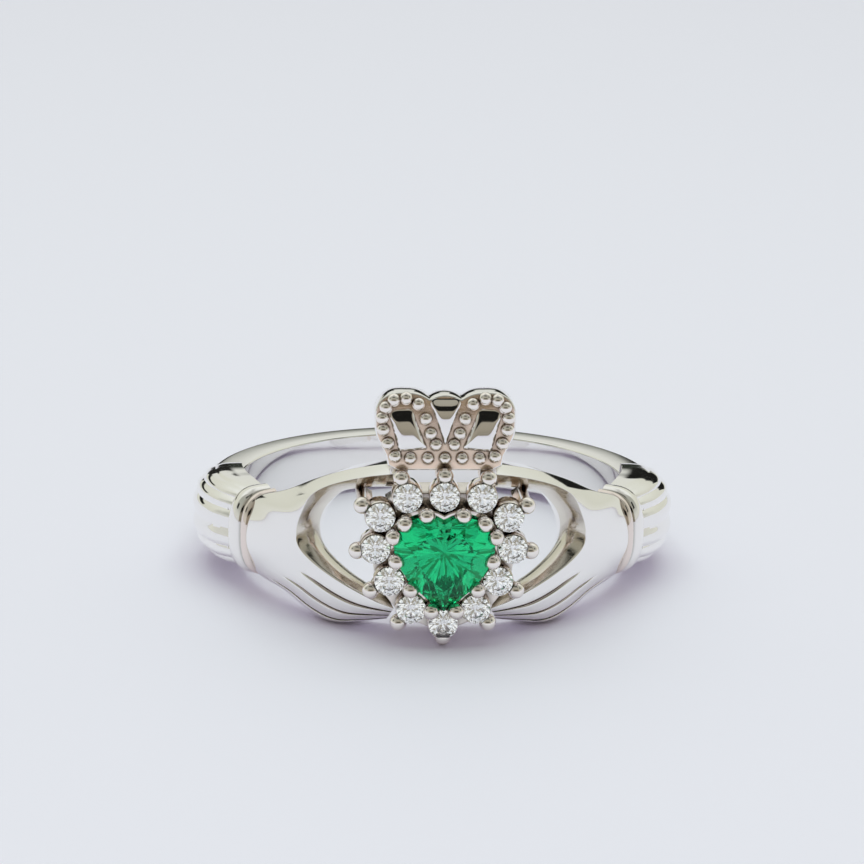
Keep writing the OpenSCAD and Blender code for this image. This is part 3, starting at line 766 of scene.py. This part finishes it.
def gallery():
    """Wall behind the round stones, cut back at its top, with a hole behind each stone."""
    outer = gallery_outline([HALO_ROWS[halo_row(i)][4] * ROUND_D for i in range(ROUND_COUNT)])
    inner = gallery_outline([-ROUND_R] * ROUND_COUNT)
    band = as_mesh("gallery_wall", *upright_band(outer, inner, PLATE_Y, GALLERY_EDGE))
    wall = bpy.data.objects.new("gallery_wall", band)
    drills = []
    for i in range(ROUND_COUNT):
        circle = [halo_spot(i) + (HOLE_R + HOLE_GAP) * np.array([math.cos(a), math.sin(a)])
                  for a in circle_angles(ROUND_STEPS)]
        drills.append(closed_loft([[on_head(spot, y) for spot in circle]
                                   for y in (FINGER_R - DRILL_BACK, PLATE_Y + DRILL_FRONT)]))
    drill = bpy.data.objects.new("culet_drill", as_mesh("culet_drill", *merged(drills)))
    for obj in (wall, drill):
        bpy.context.scene.collection.objects.link(obj)
    cut = wall.modifiers.new("culet_holes", "BOOLEAN")
    cut.operation = "DIFFERENCE"
    cut.solver = "EXACT"
    cut.object = drill
    mesh = bpy.data.meshes.new_from_object(wall.evaluated_get(bpy.context.evaluated_depsgraph_get()))
    bpy.data.objects.remove(wall)
    bpy.data.objects.remove(drill)
    return mesh


# Angle round a lobe at which its arc ends, in degrees, and the share of the side below that keeps to the
# arc's direction there
HEART_LEAVE = -18
HEART_PULL = 0.42


def heart_outline(grow, arc_steps=26, side_steps=18):
    """Outline of the heart stone, larger all round by a distance."""
    half = HEART_W / 2 + grow
    tall = HEART_H + 2 * grow
    cleft = HEART_CLEFT_SHARE * HEART_H
    half_c = math.sqrt(2 * half * cleft) - cleft
    lobe_r = half - half_c
    lobe_z = tall / 2 - lobe_r
    start_f = math.pi / 2 + math.asin(half_c / lobe_r)
    leave_f = math.radians(HEART_LEAVE)
    leave = np.array([half_c + lobe_r * math.cos(leave_f), lobe_z + lobe_r * math.sin(leave_f)])
    tip = np.array([0, -tall / 2])
    onward = np.array([math.sin(leave_f), -math.cos(leave_f)])
    pull = leave + HEART_PULL * np.linalg.norm(leave - tip) * onward
    side = []
    for i in range(arc_steps + 1):
        f = mix(start_f, leave_f, i / arc_steps)
        side.append(np.array([half_c + lobe_r * math.cos(f), lobe_z + lobe_r * math.sin(f)]))
    for i in range(1, side_steps + 1):
        t = i / side_steps
        side.append((1 - t) ** 2 * leave + 2 * t * (1 - t) * pull + t * t * tip)
    return side + [np.array([-p[0], p[1]]) for p in side[-2:0:-1]]


def heart_rail():
    """Rail under the heart stone, with a rounded top."""
    middle = np.array([0, HEART_MIDDLE_Z])
    outer, inner = ([p + middle for p in heart_outline(grow)] for grow in (RAIL_OUT, -RAIL_IN))
    return upright_band(outer, inner, HEART_Y - RAIL_DROP, RAIL_EDGE)


# Repeated pieces, placed by Geometry Nodes

def repeat_tree(name, sizes):
    """Node tree with named size inputs, whose shape is repeated on the points it is given."""
    tree = bpy.data.node_groups.new(name, "GeometryNodeTree")
    tree.interface.new_socket("Spots", in_out="INPUT", socket_type="NodeSocketGeometry")
    tree.interface.new_socket("Finish", in_out="INPUT", socket_type="NodeSocketMaterial")
    for label, value in sizes.items():
        kind = "NodeSocketInt" if isinstance(value, int) else "NodeSocketFloat"
        socket = tree.interface.new_socket(label, in_out="INPUT", socket_type=kind)
        socket.default_value = value
    tree.interface.new_socket("Pieces", in_out="OUTPUT", socket_type="NodeSocketGeometry")
    entry = tree.nodes.new("NodeGroupInput")
    return tree, entry


def end_tree(tree, entry, shape, pointed=False):
    """Sets the shape on every spot, realizes it and gives it its finish. A pointed shape's +Z follows
    the spots' own directions."""
    place = tree.nodes.new("GeometryNodeInstanceOnPoints")
    real = tree.nodes.new("GeometryNodeRealizeInstances")
    finish = tree.nodes.new("GeometryNodeSetMaterial")
    done = tree.nodes.new("NodeGroupOutput")
    links = tree.links
    if pointed:
        pointing = tree.nodes.new("GeometryNodeInputNamedAttribute")
        pointing.data_type = "FLOAT_VECTOR"
        pointing.inputs["Name"].default_value = "pointing"
        align = tree.nodes.new("FunctionNodeAlignRotationToVector")
        align.axis = "Z"
        links.new(pointing.outputs["Attribute"], align.inputs["Vector"])
        links.new(align.outputs["Rotation"], place.inputs["Rotation"])
    links.new(entry.outputs["Spots"], place.inputs["Points"])
    links.new(shape, place.inputs["Instance"])
    links.new(place.outputs["Instances"], real.inputs["Geometry"])
    links.new(real.outputs["Geometry"], finish.inputs["Geometry"])
    links.new(entry.outputs["Finish"], finish.inputs["Material"])
    links.new(finish.outputs["Geometry"], done.inputs["Pieces"])


def ball(tree, entry, radius):
    """Ball whose radius is one of the tree's inputs."""
    sphere = tree.nodes.new("GeometryNodeMeshUVSphere")
    for label, socket in ((radius, "Radius"), ("Rings", "Rings"), ("Segments", "Segments")):
        tree.links.new(entry.outputs[label], sphere.inputs[socket])
    return sphere.outputs["Mesh"]


def lowered(tree, entry, shape, share):
    """Shape moved along -Z by a share of the stem's length."""
    drop = tree.nodes.new("ShaderNodeMath")
    drop.operation = "MULTIPLY"
    drop.inputs[1].default_value = -share
    place = tree.nodes.new("ShaderNodeCombineXYZ")
    lower = tree.nodes.new("GeometryNodeTransform")
    tree.links.new(entry.outputs["Stem Length"], drop.inputs[0])
    tree.links.new(drop.outputs["Value"], place.inputs["Z"])
    tree.links.new(place.outputs["Vector"], lower.inputs["Translation"])
    tree.links.new(shape, lower.inputs["Geometry"])
    return lower.outputs["Geometry"]


def bead_tree():
    tree, entry = repeat_tree("bead_on_spots", {"Bead Radius": BEAD_D / 2, "Rings": 20, "Segments": 32})
    end_tree(tree, entry, ball(tree, entry, "Bead Radius"))
    return tree


def prong_tree():
    """A ball on a round stem that runs back along -Z to a smaller ball at its root."""
    tree, entry = repeat_tree("prong_on_spots", {"Ball Radius": 0.3, "Stem Radius": 0.2, "Stem Length": 2.0,
                                                 "Root Radius": 0.2, "Rings": 24, "Segments": 36})
    stem = tree.nodes.new("GeometryNodeMeshCylinder")
    for label, socket in (("Segments", "Vertices"), ("Stem Radius", "Radius"), ("Stem Length", "Depth")):
        tree.links.new(entry.outputs[label], stem.inputs[socket])
    join = tree.nodes.new("GeometryNodeJoinGeometry")
    for shape in (lowered(tree, entry, stem.outputs["Mesh"], 0.5), ball(tree, entry, "Ball Radius"),
                  lowered(tree, entry, ball(tree, entry, "Root Radius"), 1.0)):
        tree.links.new(shape, join.inputs["Geometry"])
    end_tree(tree, entry, join.outputs["Geometry"], pointed=True)
    return tree


def collet_tree(template):
    tree, entry = repeat_tree("collet_on_spots", {})
    model = tree.nodes.new("GeometryNodeObjectInfo")
    model.inputs["Object"].default_value = template
    end_tree(tree, entry, model.outputs["Geometry"])
    return tree


def repeated(name, tree, spots, material, sizes=None, pointing=None):
    """Mesh, in the ring's millimetres, of a tree's shape on each spot."""
    points = bpy.data.meshes.new(name + "_spots")
    points.from_pydata([tuple(p) for p in spots], [], [])
    if pointing:
        directions = points.attributes.new("pointing", "FLOAT_VECTOR", "POINT")
        directions.data.foreach_set("vector", [c for v in pointing for c in v])
    holder = bpy.data.objects.new(name + "_spots", points)
    bpy.context.scene.collection.objects.link(holder)
    modifier = holder.modifiers.new(name, "NODES")
    modifier.node_group = tree
    sockets = {item.name: item.identifier for item in tree.interface.items_tree if item.in_out == "INPUT"}
    modifier[sockets["Finish"]] = material
    for label, value in (sizes or {}).items():
        modifier[sockets[label]] = value
    depsgraph = bpy.context.evaluated_depsgraph_get()
    mesh = bpy.data.meshes.new_from_object(holder.evaluated_get(depsgraph))
    bpy.data.objects.remove(holder)
    return mesh


def on_head(spot, y):
    return (spot[0], -y, spot[1])


# Crown

# Spots on the crown: shares of its half width across and of its height up. A circle's radius comes third,
# as a share of the half width.
CROWN_CENTRE = [0, 0.36]
CROWN_FLANK = [[0.70, 0.00], [0.84, 0.06], [0.87, 0.19], [1.00, 0.42]]
CROWN_LOBES = [[0.535, 0.582, 0.500], [0.575, 0.617, 0.460], [0.620, 0.655, 0.418], [0.660, 0.690, 0.378],
               [0.700, 0.722, 0.338]]
CROWN_MIDDLE = [0, 0.599, 0.445]
SIDE_PANEL = [[0.655, 0.275, 0.035], [0.290, 0.300, 0.030], [0.545, 0.750, 0.070], [0.700, 0.700, 0.115]]
SIDE_APEX = (0.57, 0.55)
MIDDLE_PANEL = [[0, 0.355, 0.02], [0.150, 0.880, 0.075], [-0.150, 0.880, 0.075]]
MIDDLE_APEX = (0, 0.7)
# Share of the crown's height up to which a panel is level, and how much it bows back above that
SIDE_LEVEL = (0.37, 0.092)
MIDDLE_LEVEL = (0.63, 0.16)
MIDDLE_BEAD = [0, 0.161]
SIDE_BEADS = [
    [0.252, 0.161], [0.507, 0.161], [0.730, 0.187], [0.840, 0.356], [0.910, 0.535],
    [0.925, 0.690], [0.875, 0.825], [0.760, 0.920], [0.580, 0.942], [0.400, 0.870],
    [0.290, 0.678], [0.215, 0.488], [0.135, 0.340],
]
# Posts of the foot: middle and half width, as shares of the crown's half width
CROWN_POSTS = [(-0.627, 0.091), (0, 0.107), (0.627, 0.091)]
# The foot starts over the top stone's middle, at a share of ROUND_D, and ends over the crown's base, at a
# share of the crown's height
FOOT_START = 0.35
FOOT_END = 0.10
# Edges of the plate: distance inwards, and distance from its back or from its front
PLATE_BACK_EDGE = [(0.05, 0), (0.01, 0.02), (0, 0.06)]
PLATE_FRONT_EDGE = [(0, 0.08), (0.012, 0.035), (0.035, 0.01), (0.07, 0)]
# How deep a panel is sunk, how far under its edge the rounding starts, and the power of its crowning
PANEL_SINK = 0.3
PANEL_BEVEL = 0.03
PANEL_POWER = 6
# Sizes of a panel's outlines from its edge inwards
PANEL_SCALES = [0.985] + [0.965 - 0.035 * i for i in range(27)]


def crown_spot(share):
    return np.array([share[0] * CROWN_HALF, CROWN_BASE + share[1] * CROWN_H])


def crown_outline(count=288):
    """Outline of the plate, as the farthest reach of its parts along rays from its middle."""
    middle = crown_spot(CROWN_CENTRE)
    circles = [(crown_spot([s * c[0], c[1]]), c[2] * CROWN_HALF) for c in CROWN_LOBES for s in (1, -1)]
    circles.append((crown_spot(CROWN_MIDDLE), CROWN_MIDDLE[2] * CROWN_HALF))
    right = [crown_spot(p) for p in CROWN_FLANK]
    flank = right + [np.array([-p[0], p[1]]) for p in reversed(right)]
    outline = []
    for i in range(count):
        a = 2 * math.pi * (i + 0.5) / count
        ray = np.array([math.cos(a), math.sin(a)])
        reach = 0
        for spot, r in circles:
            to = spot - middle
            near = to @ ray
            inside = r * r - (to @ to - near * near)
            if inside > 0:
                reach = max(reach, near + math.sqrt(inside))
        for p, q in zip(flank, flank[1:] + flank[:1]):
            edge = q - p
            cross = ray[0] * edge[1] - ray[1] * edge[0]
            if abs(cross) < 1e-9:
                continue
            to = p - middle
            t = (to[0] * edge[1] - to[1] * edge[0]) / cross
            u = (to[0] * ray[1] - to[1] * ray[0]) / cross
            if t > 0 and 0 <= u <= 1:
                reach = max(reach, t)
        outline.append(middle + reach * ray)
    return outline


def inset(outline, distance):
    """Outline that runs anticlockwise, moved inwards by a small distance."""
    out = []
    for i, p in enumerate(outline):
        run = outline[(i + 1) % len(outline)] - outline[i - 1]
        run = run / np.linalg.norm(run)
        out.append(p + distance * np.array([-run[1], run[0]]))
    return out


def layered(outline, levels):
    """Closed solid through insets of an outline: distance inwards, distance in front of the finger."""
    return closed_loft([[on_head(p, y) for p in inset(outline, d)] for d, y in levels])


def crown_plate():
    levels = [(d, CROWN_Y - CROWN_T + y) for d, y in PLATE_BACK_EDGE]
    levels += [(d, CROWN_Y - y) for d, y in PLATE_FRONT_EDGE]
    return layered(crown_outline(), levels)


def crown_foot():
    low = HALO_TOP + FOOT_START * ROUND_D
    high = CROWN_BASE + FOOT_END * CROWN_H
    posts = []
    for place, half in CROWN_POSTS:
        left, right = (np.array([(place + s * half) * CROWN_HALF, (low + high) / 2]) for s in (-1, 1))
        posts.append(wall_between(left, right, high - low, CROWN_Y - CROWN_T / 2))
    return merged(posts)


def hull_outline(circles, count=120):
    """Convex outline round some circles, evenly spaced and anticlockwise."""
    cloud = sorted({(spot[0] + r * math.cos(a), spot[1] + r * math.sin(a))
                    for spot, r in circles for a in circle_angles(ROUND_STEPS)})

    def half(points):
        chain = []
        for p in points:
            while len(chain) > 1 and ((chain[-1][0] - chain[-2][0]) * (p[1] - chain[-2][1])
                                      - (chain[-1][1] - chain[-2][1]) * (p[0] - chain[-2][0])) <= 0:
                chain.pop()
            chain.append(p)
        return chain[:-1]

    corners = [np.array(p) for p in half(cloud) + half(cloud[::-1])]
    lengths = [np.linalg.norm(corners[(i + 1) % len(corners)] - c) for i, c in enumerate(corners)]
    total = sum(lengths)
    outline, i, done = [], 0, 0.0
    for k in range(count):
        target = total * k / count
        while done + lengths[i] < target:
            done += lengths[i]
            i += 1
        outline.append(mix(corners[i], corners[(i + 1) % len(corners)], (target - done) / lengths[i]))
    return outline


def crown_panel(corners, apex, level, side):
    """Polished panel with a rounded edge, level at its foot and bowed back above."""
    level_share, bow = level
    level_z = crown_spot([0, level_share])[1]
    outline = hull_outline([(crown_spot([side * c[0], c[1]]), c[2] * CROWN_HALF) for c in corners])
    middle = crown_spot([side * apex[0], apex[1]])
    edge_y = CROWN_Y + PANEL_EDGE
    loops = [[on_head(p, y) for p in outline] for y in (CROWN_Y - PANEL_SINK, edge_y - PANEL_BEVEL)]
    for k in PANEL_SCALES:
        loop = []
        for p in outline:
            spot = middle + k * (p - middle)
            bowed = bow * max(spot[1] - level_z, 0) ** 2
            rise = max(PANEL_T - PANEL_EDGE - bowed, 0) * (1 - k ** PANEL_POWER)
            loop.append(on_head(spot, edge_y + rise))
        loops.append(loop)
    return closed_loft(loops)


# The silver, piece by piece

# How far the stems of straight prongs run back past the finger's wall, before they are trimmed to it
OUTER_STEM_BACK = 1.2
INNER_STEM_BACK = 0.5
# Step between neighbouring collets, so that no face of one lies in another's
COLLET_STEP = 0.006

pairs = {"collar": collar(), "cuff": cuff(), "hand": hand()}
pieces = [
    add_part("shank", shank(), SILVER),
    add_part("crown_plate", crown_plate(), SILVER),
    add_part("crown_foot", crown_foot(), GROUND_SILVER),
    add_piece("halo_gallery", gallery(), GALLERY_SILVER),
    add_part("prong_arms", prong_arms(), GROUND_SILVER),
    add_part("heart_rail", heart_rail(), CAST_SILVER),
    add_part("crown_panel_middle", crown_panel(MIDDLE_PANEL, MIDDLE_APEX, MIDDLE_LEVEL, 1), SILVER),
    add_part("crown_panel_right", crown_panel(SIDE_PANEL, SIDE_APEX, SIDE_LEVEL, 1), SILVER),
    add_part("crown_panel_left", crown_panel(SIDE_PANEL, SIDE_APEX, SIDE_LEVEL, -1), SILVER),
]
finish_front(pieces[1], GROUND_SILVER)
for part_name, part in pairs.items():
    metal = {"collar": COLLAR_SILVER, "cuff": SILVER, "hand": HAND_SILVER}[part_name]
    pieces.append(add_part(part_name + "_right", part, metal, SHARP_RIB))
    pieces.append(add_part(part_name + "_left", mirrored(part), metal, SHARP_RIB))
    # Hands get a painted reflection on their opening walls, and collars a painted rosy reflection of the
    # hands on their bands next to them
    for piece in pieces[-2:]:
        if part_name == "hand":
            paint_wall_reflection(piece, SATIN_REFLECTION_SILVER)
        if part_name == "collar":
            paint_collar_reflection(piece, ROSE_REFLECTION_SILVER)

bead_spots = [on_head(crown_spot(MIDDLE_BEAD), CROWN_Y)]
bead_spots += [on_head(crown_spot([s * b[0], b[1]]), CROWN_Y) for b in SIDE_BEADS for s in (1, -1)]
beads = repeated("crown_beads", bead_tree(), bead_spots, CAST_SILVER)
pieces.append(add_piece("crown_beads", beads, CAST_SILVER))

prongs = prong_tree()


def prong_sizes(ball_r, length):
    return {"Ball Radius": ball_r, "Stem Radius": ball_r * STEM_SHARE, "Stem Length": float(length)}


def straight_prongs(name, tips, sizes):
    """Prongs that point straight away from the finger, trimmed to its wall."""
    mesh = repeated(name, prongs, tips, CAST_SILVER, sizes, [(0, -1, 0)] * len(tips))
    trim_to_finger(mesh)
    return add_piece(name, mesh, CAST_SILVER)


outer_tips = [on_head(outer_spot(i), OUTER_Y) for i in upright_prongs()]
outer_sizes = prong_sizes(OUTER_BALL_R, OUTER_Y - FINGER_R + OUTER_STEM_BACK)
pieces.append(straight_prongs("outer_prongs", outer_tips, outer_sizes))
for i in leaning_prongs():
    tip = np.array(on_head(outer_spot(i), OUTER_Y))
    run = tip - np.array(on_head(mix(halo_spot(i), outer_spot(i), ROOT_SHARE), ROOT_Y))
    name = f"leaning_prong_{i + 1}"
    sizes = prong_sizes(OUTER_BALL_R, np.linalg.norm(run))
    sizes["Root Radius"] = OUTER_BALL_R * ROOT_BALL_SHARE
    pieces.append(add_piece(name, repeated(name, prongs, [tip], CAST_SILVER, sizes, [run]), CAST_SILVER))
inner_tips = [on_head(inner_spot(i), INNER_Y) for i in range(ROUND_COUNT)]
inner_sizes = prong_sizes(INNER_BALL_R, INNER_Y - FINGER_R + INNER_STEM_BACK)
pieces.append(straight_prongs("inner_prongs", inner_tips, inner_sizes))

template = bpy.data.objects.new("collet_shape", as_mesh("collet_shape", *collet_template()))
bpy.context.scene.collection.objects.link(template)
collet_spots = [on_head(halo_spot(i), ROUND_Y - COLLET_STEP * (i % 2)) for i in range(ROUND_COUNT)]
collets = repeated("halo_collets", collet_tree(template), collet_spots, CAST_SILVER)
bpy.data.objects.remove(template)
trim_to_finger(collets)
pieces.append(add_piece("halo_collets", collets, CAST_SILVER))

for piece in pieces:
    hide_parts("silver_ring")

# Stones keep their cut solids

for node_name, node in frame["nodes"].items():
    if node_name != "silver_ring":
        node.data.materials.clear()
        node.data.materials.append(HEART_GREEN if node_name == "heart_stone" else HALO_CLEAR)

# Floor, light and camera

FLOOR_SIZE = 1.6
floor_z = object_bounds()[0][2]


def flat_material(name, color, rough):
    material, nodes, links, shader = material_tree(name)
    shader.inputs["Base Color"].default_value = color + (1,)
    shader.inputs["Roughness"].default_value = rough
    return material


def card(name, middle, facing, width, height, material):
    """Flat stage card: its middle in metres, the point it faces, and its size."""
    mesh = bpy.data.meshes.new(name)
    w, h = width / 2, height / 2
    mesh.from_pydata([(-w, -h, 0), (w, -h, 0), (w, h, 0), (-w, h, 0)], [], [(0, 1, 2, 3)])
    mesh.materials.append(material)
    turn = (Vector(facing) - Vector(middle)).to_track_quat("Z", "Y").to_matrix().to_4x4()
    mesh.transform(Matrix.Translation(Vector(middle)) @ turn)
    obj = bpy.data.objects.new(name, mesh)
    bpy.context.scene.collection.objects.link(obj)


pale_floor = flat_material("pale_floor", (0.86, 0.80, 0.98), 0.7)
card("floor", (0, 0, floor_z), (0, 0, 1), FLOOR_SIZE, FLOOR_SIZE, pale_floor)


def soft_light(name, place, target, width, height, power, color):
    light = bpy.data.lights.new(name, "AREA")
    light.shape = "RECTANGLE"
    light.size = width
    light.size_y = height
    light.energy = power
    light.color = color
    obj = bpy.data.objects.new(name, light)
    obj.location = place
    obj.rotation_euler = (Vector(target) - Vector(place)).to_track_quat("-Z", "Y").to_euler()
    bpy.context.scene.collection.objects.link(obj)
    return obj


key = soft_light("overhead_softbox", (0.0, 0.03, 0.42), (0, 0, 0), 0.42, 0.36, 0.98, (0.77, 0.97, 0.77))
fill = soft_light("front_softbox", (0.0, -0.40, 0.22), (0, 0, 0), 0.42, 0.3, 0.32, (0.88, 0.94, 1.0))
for light in (key, fill):
    light.visible_glossy = False

# Room round the ring, seen in front of it, beside it, behind its shoulders and straight behind it:
# rows of height above the horizon, as the direction's Z, and colour

FRONT_ROOM = [(0.0, (0.26, 0.235, 0.185)), (0.10, (0.33, 0.30, 0.235)), (0.30, (0.35, 0.32, 0.26)),
              (0.60, (0.38, 0.37, 0.31)), (0.80, (0.36, 0.36, 0.31)), (0.88, (0.13, 0.13, 0.11)),
              (0.95, (0.15, 0.15, 0.13)), (1.0, (0.45, 0.45, 0.42))]
SIDE_ROOM = [(0.0, (0.66, 0.66, 0.62)), (0.15, (0.62, 0.63, 0.58)), (0.35, (0.42, 0.43, 0.38)),
             (0.75, (0.38, 0.39, 0.34)), (1.0, (0.45, 0.45, 0.42))]
SHOULDER_ROOM = [(0.0, (0.72, 0.73, 0.66)), (0.12, (0.66, 0.67, 0.58)), (0.35, (0.70, 0.71, 0.62)),
                 (0.60, (0.74, 0.76, 0.68)), (0.80, (0.88, 0.90, 0.87)), (0.93, (0.80, 0.82, 0.78)),
                 (1.0, (0.45, 0.45, 0.42))]
BEHIND_ROOM = [(0.0, (0.02, 0.025, 0.02)), (0.06, (0.05, 0.055, 0.045)), (0.10, (0.35, 0.36, 0.33)),
               (0.16, (0.72, 0.73, 0.68)), (0.60, (0.74, 0.76, 0.68)), (0.80, (0.88, 0.90, 0.87)),
               (1.0, (0.45, 0.45, 0.42))]
# Degrees round from the front over which the room gives way to its next part
ROOM_TURNS = [(35, 50, SIDE_ROOM), (92, 108, SHOULDER_ROOM), (163, 172, BEHIND_ROOM)]
# Dark things in the room: degrees round from the front towards +X, degrees above the horizon,
# half width and half height in degrees, and brightness
DARK_THINGS = [
    (0, 18, 27, 6, 0.01),
    (160.5, 8, 12.5, 5.5, 0.012),
    (-150, 9, 17, 3, 0.012),
    (-171.5, 4, 6.5, 6, 0.02),
    (67, 30, 8, 10, 0.02),
    (-82, 23, 8, 7, 0.03),
    (-15, 64, 48, 5, 0.012),
    (33, 48, 4, 7, 0.03),
]
# Blue of a dark thing, as a share of its brightness, and the width of its soft edge in degrees
DARK_BLUE = 0.9
DARK_SOFT = 1.2

world = bpy.data.worlds.new("studio_room")
bpy.context.scene.world = world
world.use_nodes = True
sky = world.node_tree.nodes
sky.clear()
world_links = world.node_tree.links
sky_out = sky.new("ShaderNodeOutputWorld")
room = sky.new("ShaderNodeBackground")
direction = sky.new("ShaderNodeTexCoord")
split = sky.new("ShaderNodeSeparateXYZ")
world_links.new(direction.outputs["Generated"], split.inputs["Vector"])


def room_math(operation, *values):
    """Node of one sum on numbers and other nodes' values."""
    node = sky.new("ShaderNodeMath")
    node.operation = operation
    for socket, value in zip(node.inputs, values):
        if isinstance(value, (int, float)):
            socket.default_value = value
        else:
            world_links.new(value, socket)
    return node.outputs["Value"]


def room_ramp(rows):
    ramp = sky.new("ShaderNodeValToRGB")
    world_links.new(split.outputs["Z"], ramp.inputs["Fac"])
    ramp.color_ramp.elements[0].position = rows[0][0]
    ramp.color_ramp.elements[0].color = rows[0][1] + (1,)
    ramp.color_ramp.elements[1].position = rows[-1][0]
    ramp.color_ramp.elements[1].color = rows[-1][1] + (1,)
    for height, color in rows[1:-1]:
        ramp.color_ramp.elements.new(height).color = color + (1,)
    return ramp.outputs["Color"]


def room_step(value, low, high):
    """0 at low, 1 at high and smooth between, on any value of the direction."""
    step = sky.new("ShaderNodeMapRange")
    step.interpolation_type = "SMOOTHSTEP"
    step.inputs["From Min"].default_value = low
    step.inputs["From Max"].default_value = high
    world_links.new(value, step.inputs["Value"])
    return step.outputs["Result"]


def room_mix(factor, a, b):
    blend = sky.new("ShaderNodeMix")
    blend.data_type = "RGBA"
    world_links.new(factor, blend.inputs["Factor"])
    for socket, color in ((blend.inputs[6], a), (blend.inputs[7], b)):
        if isinstance(color, tuple):
            socket.default_value = color + (1,)
        else:
            world_links.new(color, socket)
    return blend.outputs[2]


def room_window(value, middle, half):
    """1 within half of the middle, with a narrow soft edge."""
    off = room_math("ABSOLUTE", room_math("SUBTRACT", value, middle))
    return room_step(off, half + DARK_SOFT / 2, half - DARK_SOFT / 2)


degrees_round = room_math("DEGREES", room_math("ARCTAN2", split.outputs["X"],
                                               room_math("MULTIPLY", split.outputs["Y"], -1)))
degrees_up = room_math("DEGREES", room_math("ARCSINE", split.outputs["Z"]))
turned = room_math("ABSOLUTE", degrees_round)
around = room_ramp(FRONT_ROOM)
for turn_start, turn_end, rows in ROOM_TURNS:
    around = room_mix(room_step(turned, turn_start, turn_end), around, room_ramp(rows))
for round_at, up_at, half_round, half_up, brightness in DARK_THINGS:
    inside = room_math("MULTIPLY", room_window(degrees_round, round_at, half_round),
                       room_window(degrees_up, up_at, half_up))
    around = room_mix(inside, around, (brightness, brightness, DARK_BLUE * brightness))
world_links.new(around, room.inputs["Color"])
world_links.new(room.outputs["Background"], sky_out.inputs["Surface"])

# The camera stands 140 mm in front of the ring, 20.3 degrees above it and 3 degrees round towards -X.
# The ring's origin lies AIM_PIXELS to the left of the picture's middle and below it.

CAMERA_RISE = math.radians(20.3)
CAMERA_TURN = math.radians(3.0)
CAMERA_ROLL = 0.020
CAMERA_DISTANCE = 0.140
FOCAL_PIXELS = 3136.0
FRAME_PIXELS = 864.0
AIM_PIXELS = (0.5, 71.2)
SENSOR_WIDTH = 36

back = Vector((-math.sin(CAMERA_TURN) * math.cos(CAMERA_RISE), -math.cos(CAMERA_TURN) * math.cos(CAMERA_RISE),
               math.sin(CAMERA_RISE)))
right = Vector((math.cos(CAMERA_TURN), -math.sin(CAMERA_TURN), 0))
up = back.cross(right)
right, up = (right * math.cos(CAMERA_ROLL) + up * math.sin(CAMERA_ROLL),
             up * math.cos(CAMERA_ROLL) - right * math.sin(CAMERA_ROLL))
place = back * CAMERA_DISTANCE
aim = (-back * FOCAL_PIXELS + right * AIM_PIXELS[0] + up * AIM_PIXELS[1]).normalized()
right = (right - aim * right.dot(aim)).normalized()
up = right.cross(aim)
camera_data = bpy.data.cameras.new("camera")
camera_data.sensor_width = SENSOR_WIDTH
camera_data.lens = SENSOR_WIDTH * FOCAL_PIXELS / FRAME_PIXELS
camera_data.clip_start = 0.001
camera_data.clip_end = 10
camera = bpy.data.objects.new("camera", camera_data)
camera.matrix_world = Matrix.Translation(place) @ Matrix((right, up, -aim)).transposed().to_4x4()
bpy.context.scene.collection.objects.link(camera)
bpy.context.scene.camera = camera

view = bpy.context.scene.view_settings
view.view_transform = "Standard"
view.look = "None"
view.exposure = 0.0
cycles = bpy.context.scene.cycles
cycles.max_bounces = 16
cycles.transmission_bounces = 14
cycles.glossy_bounces = 8
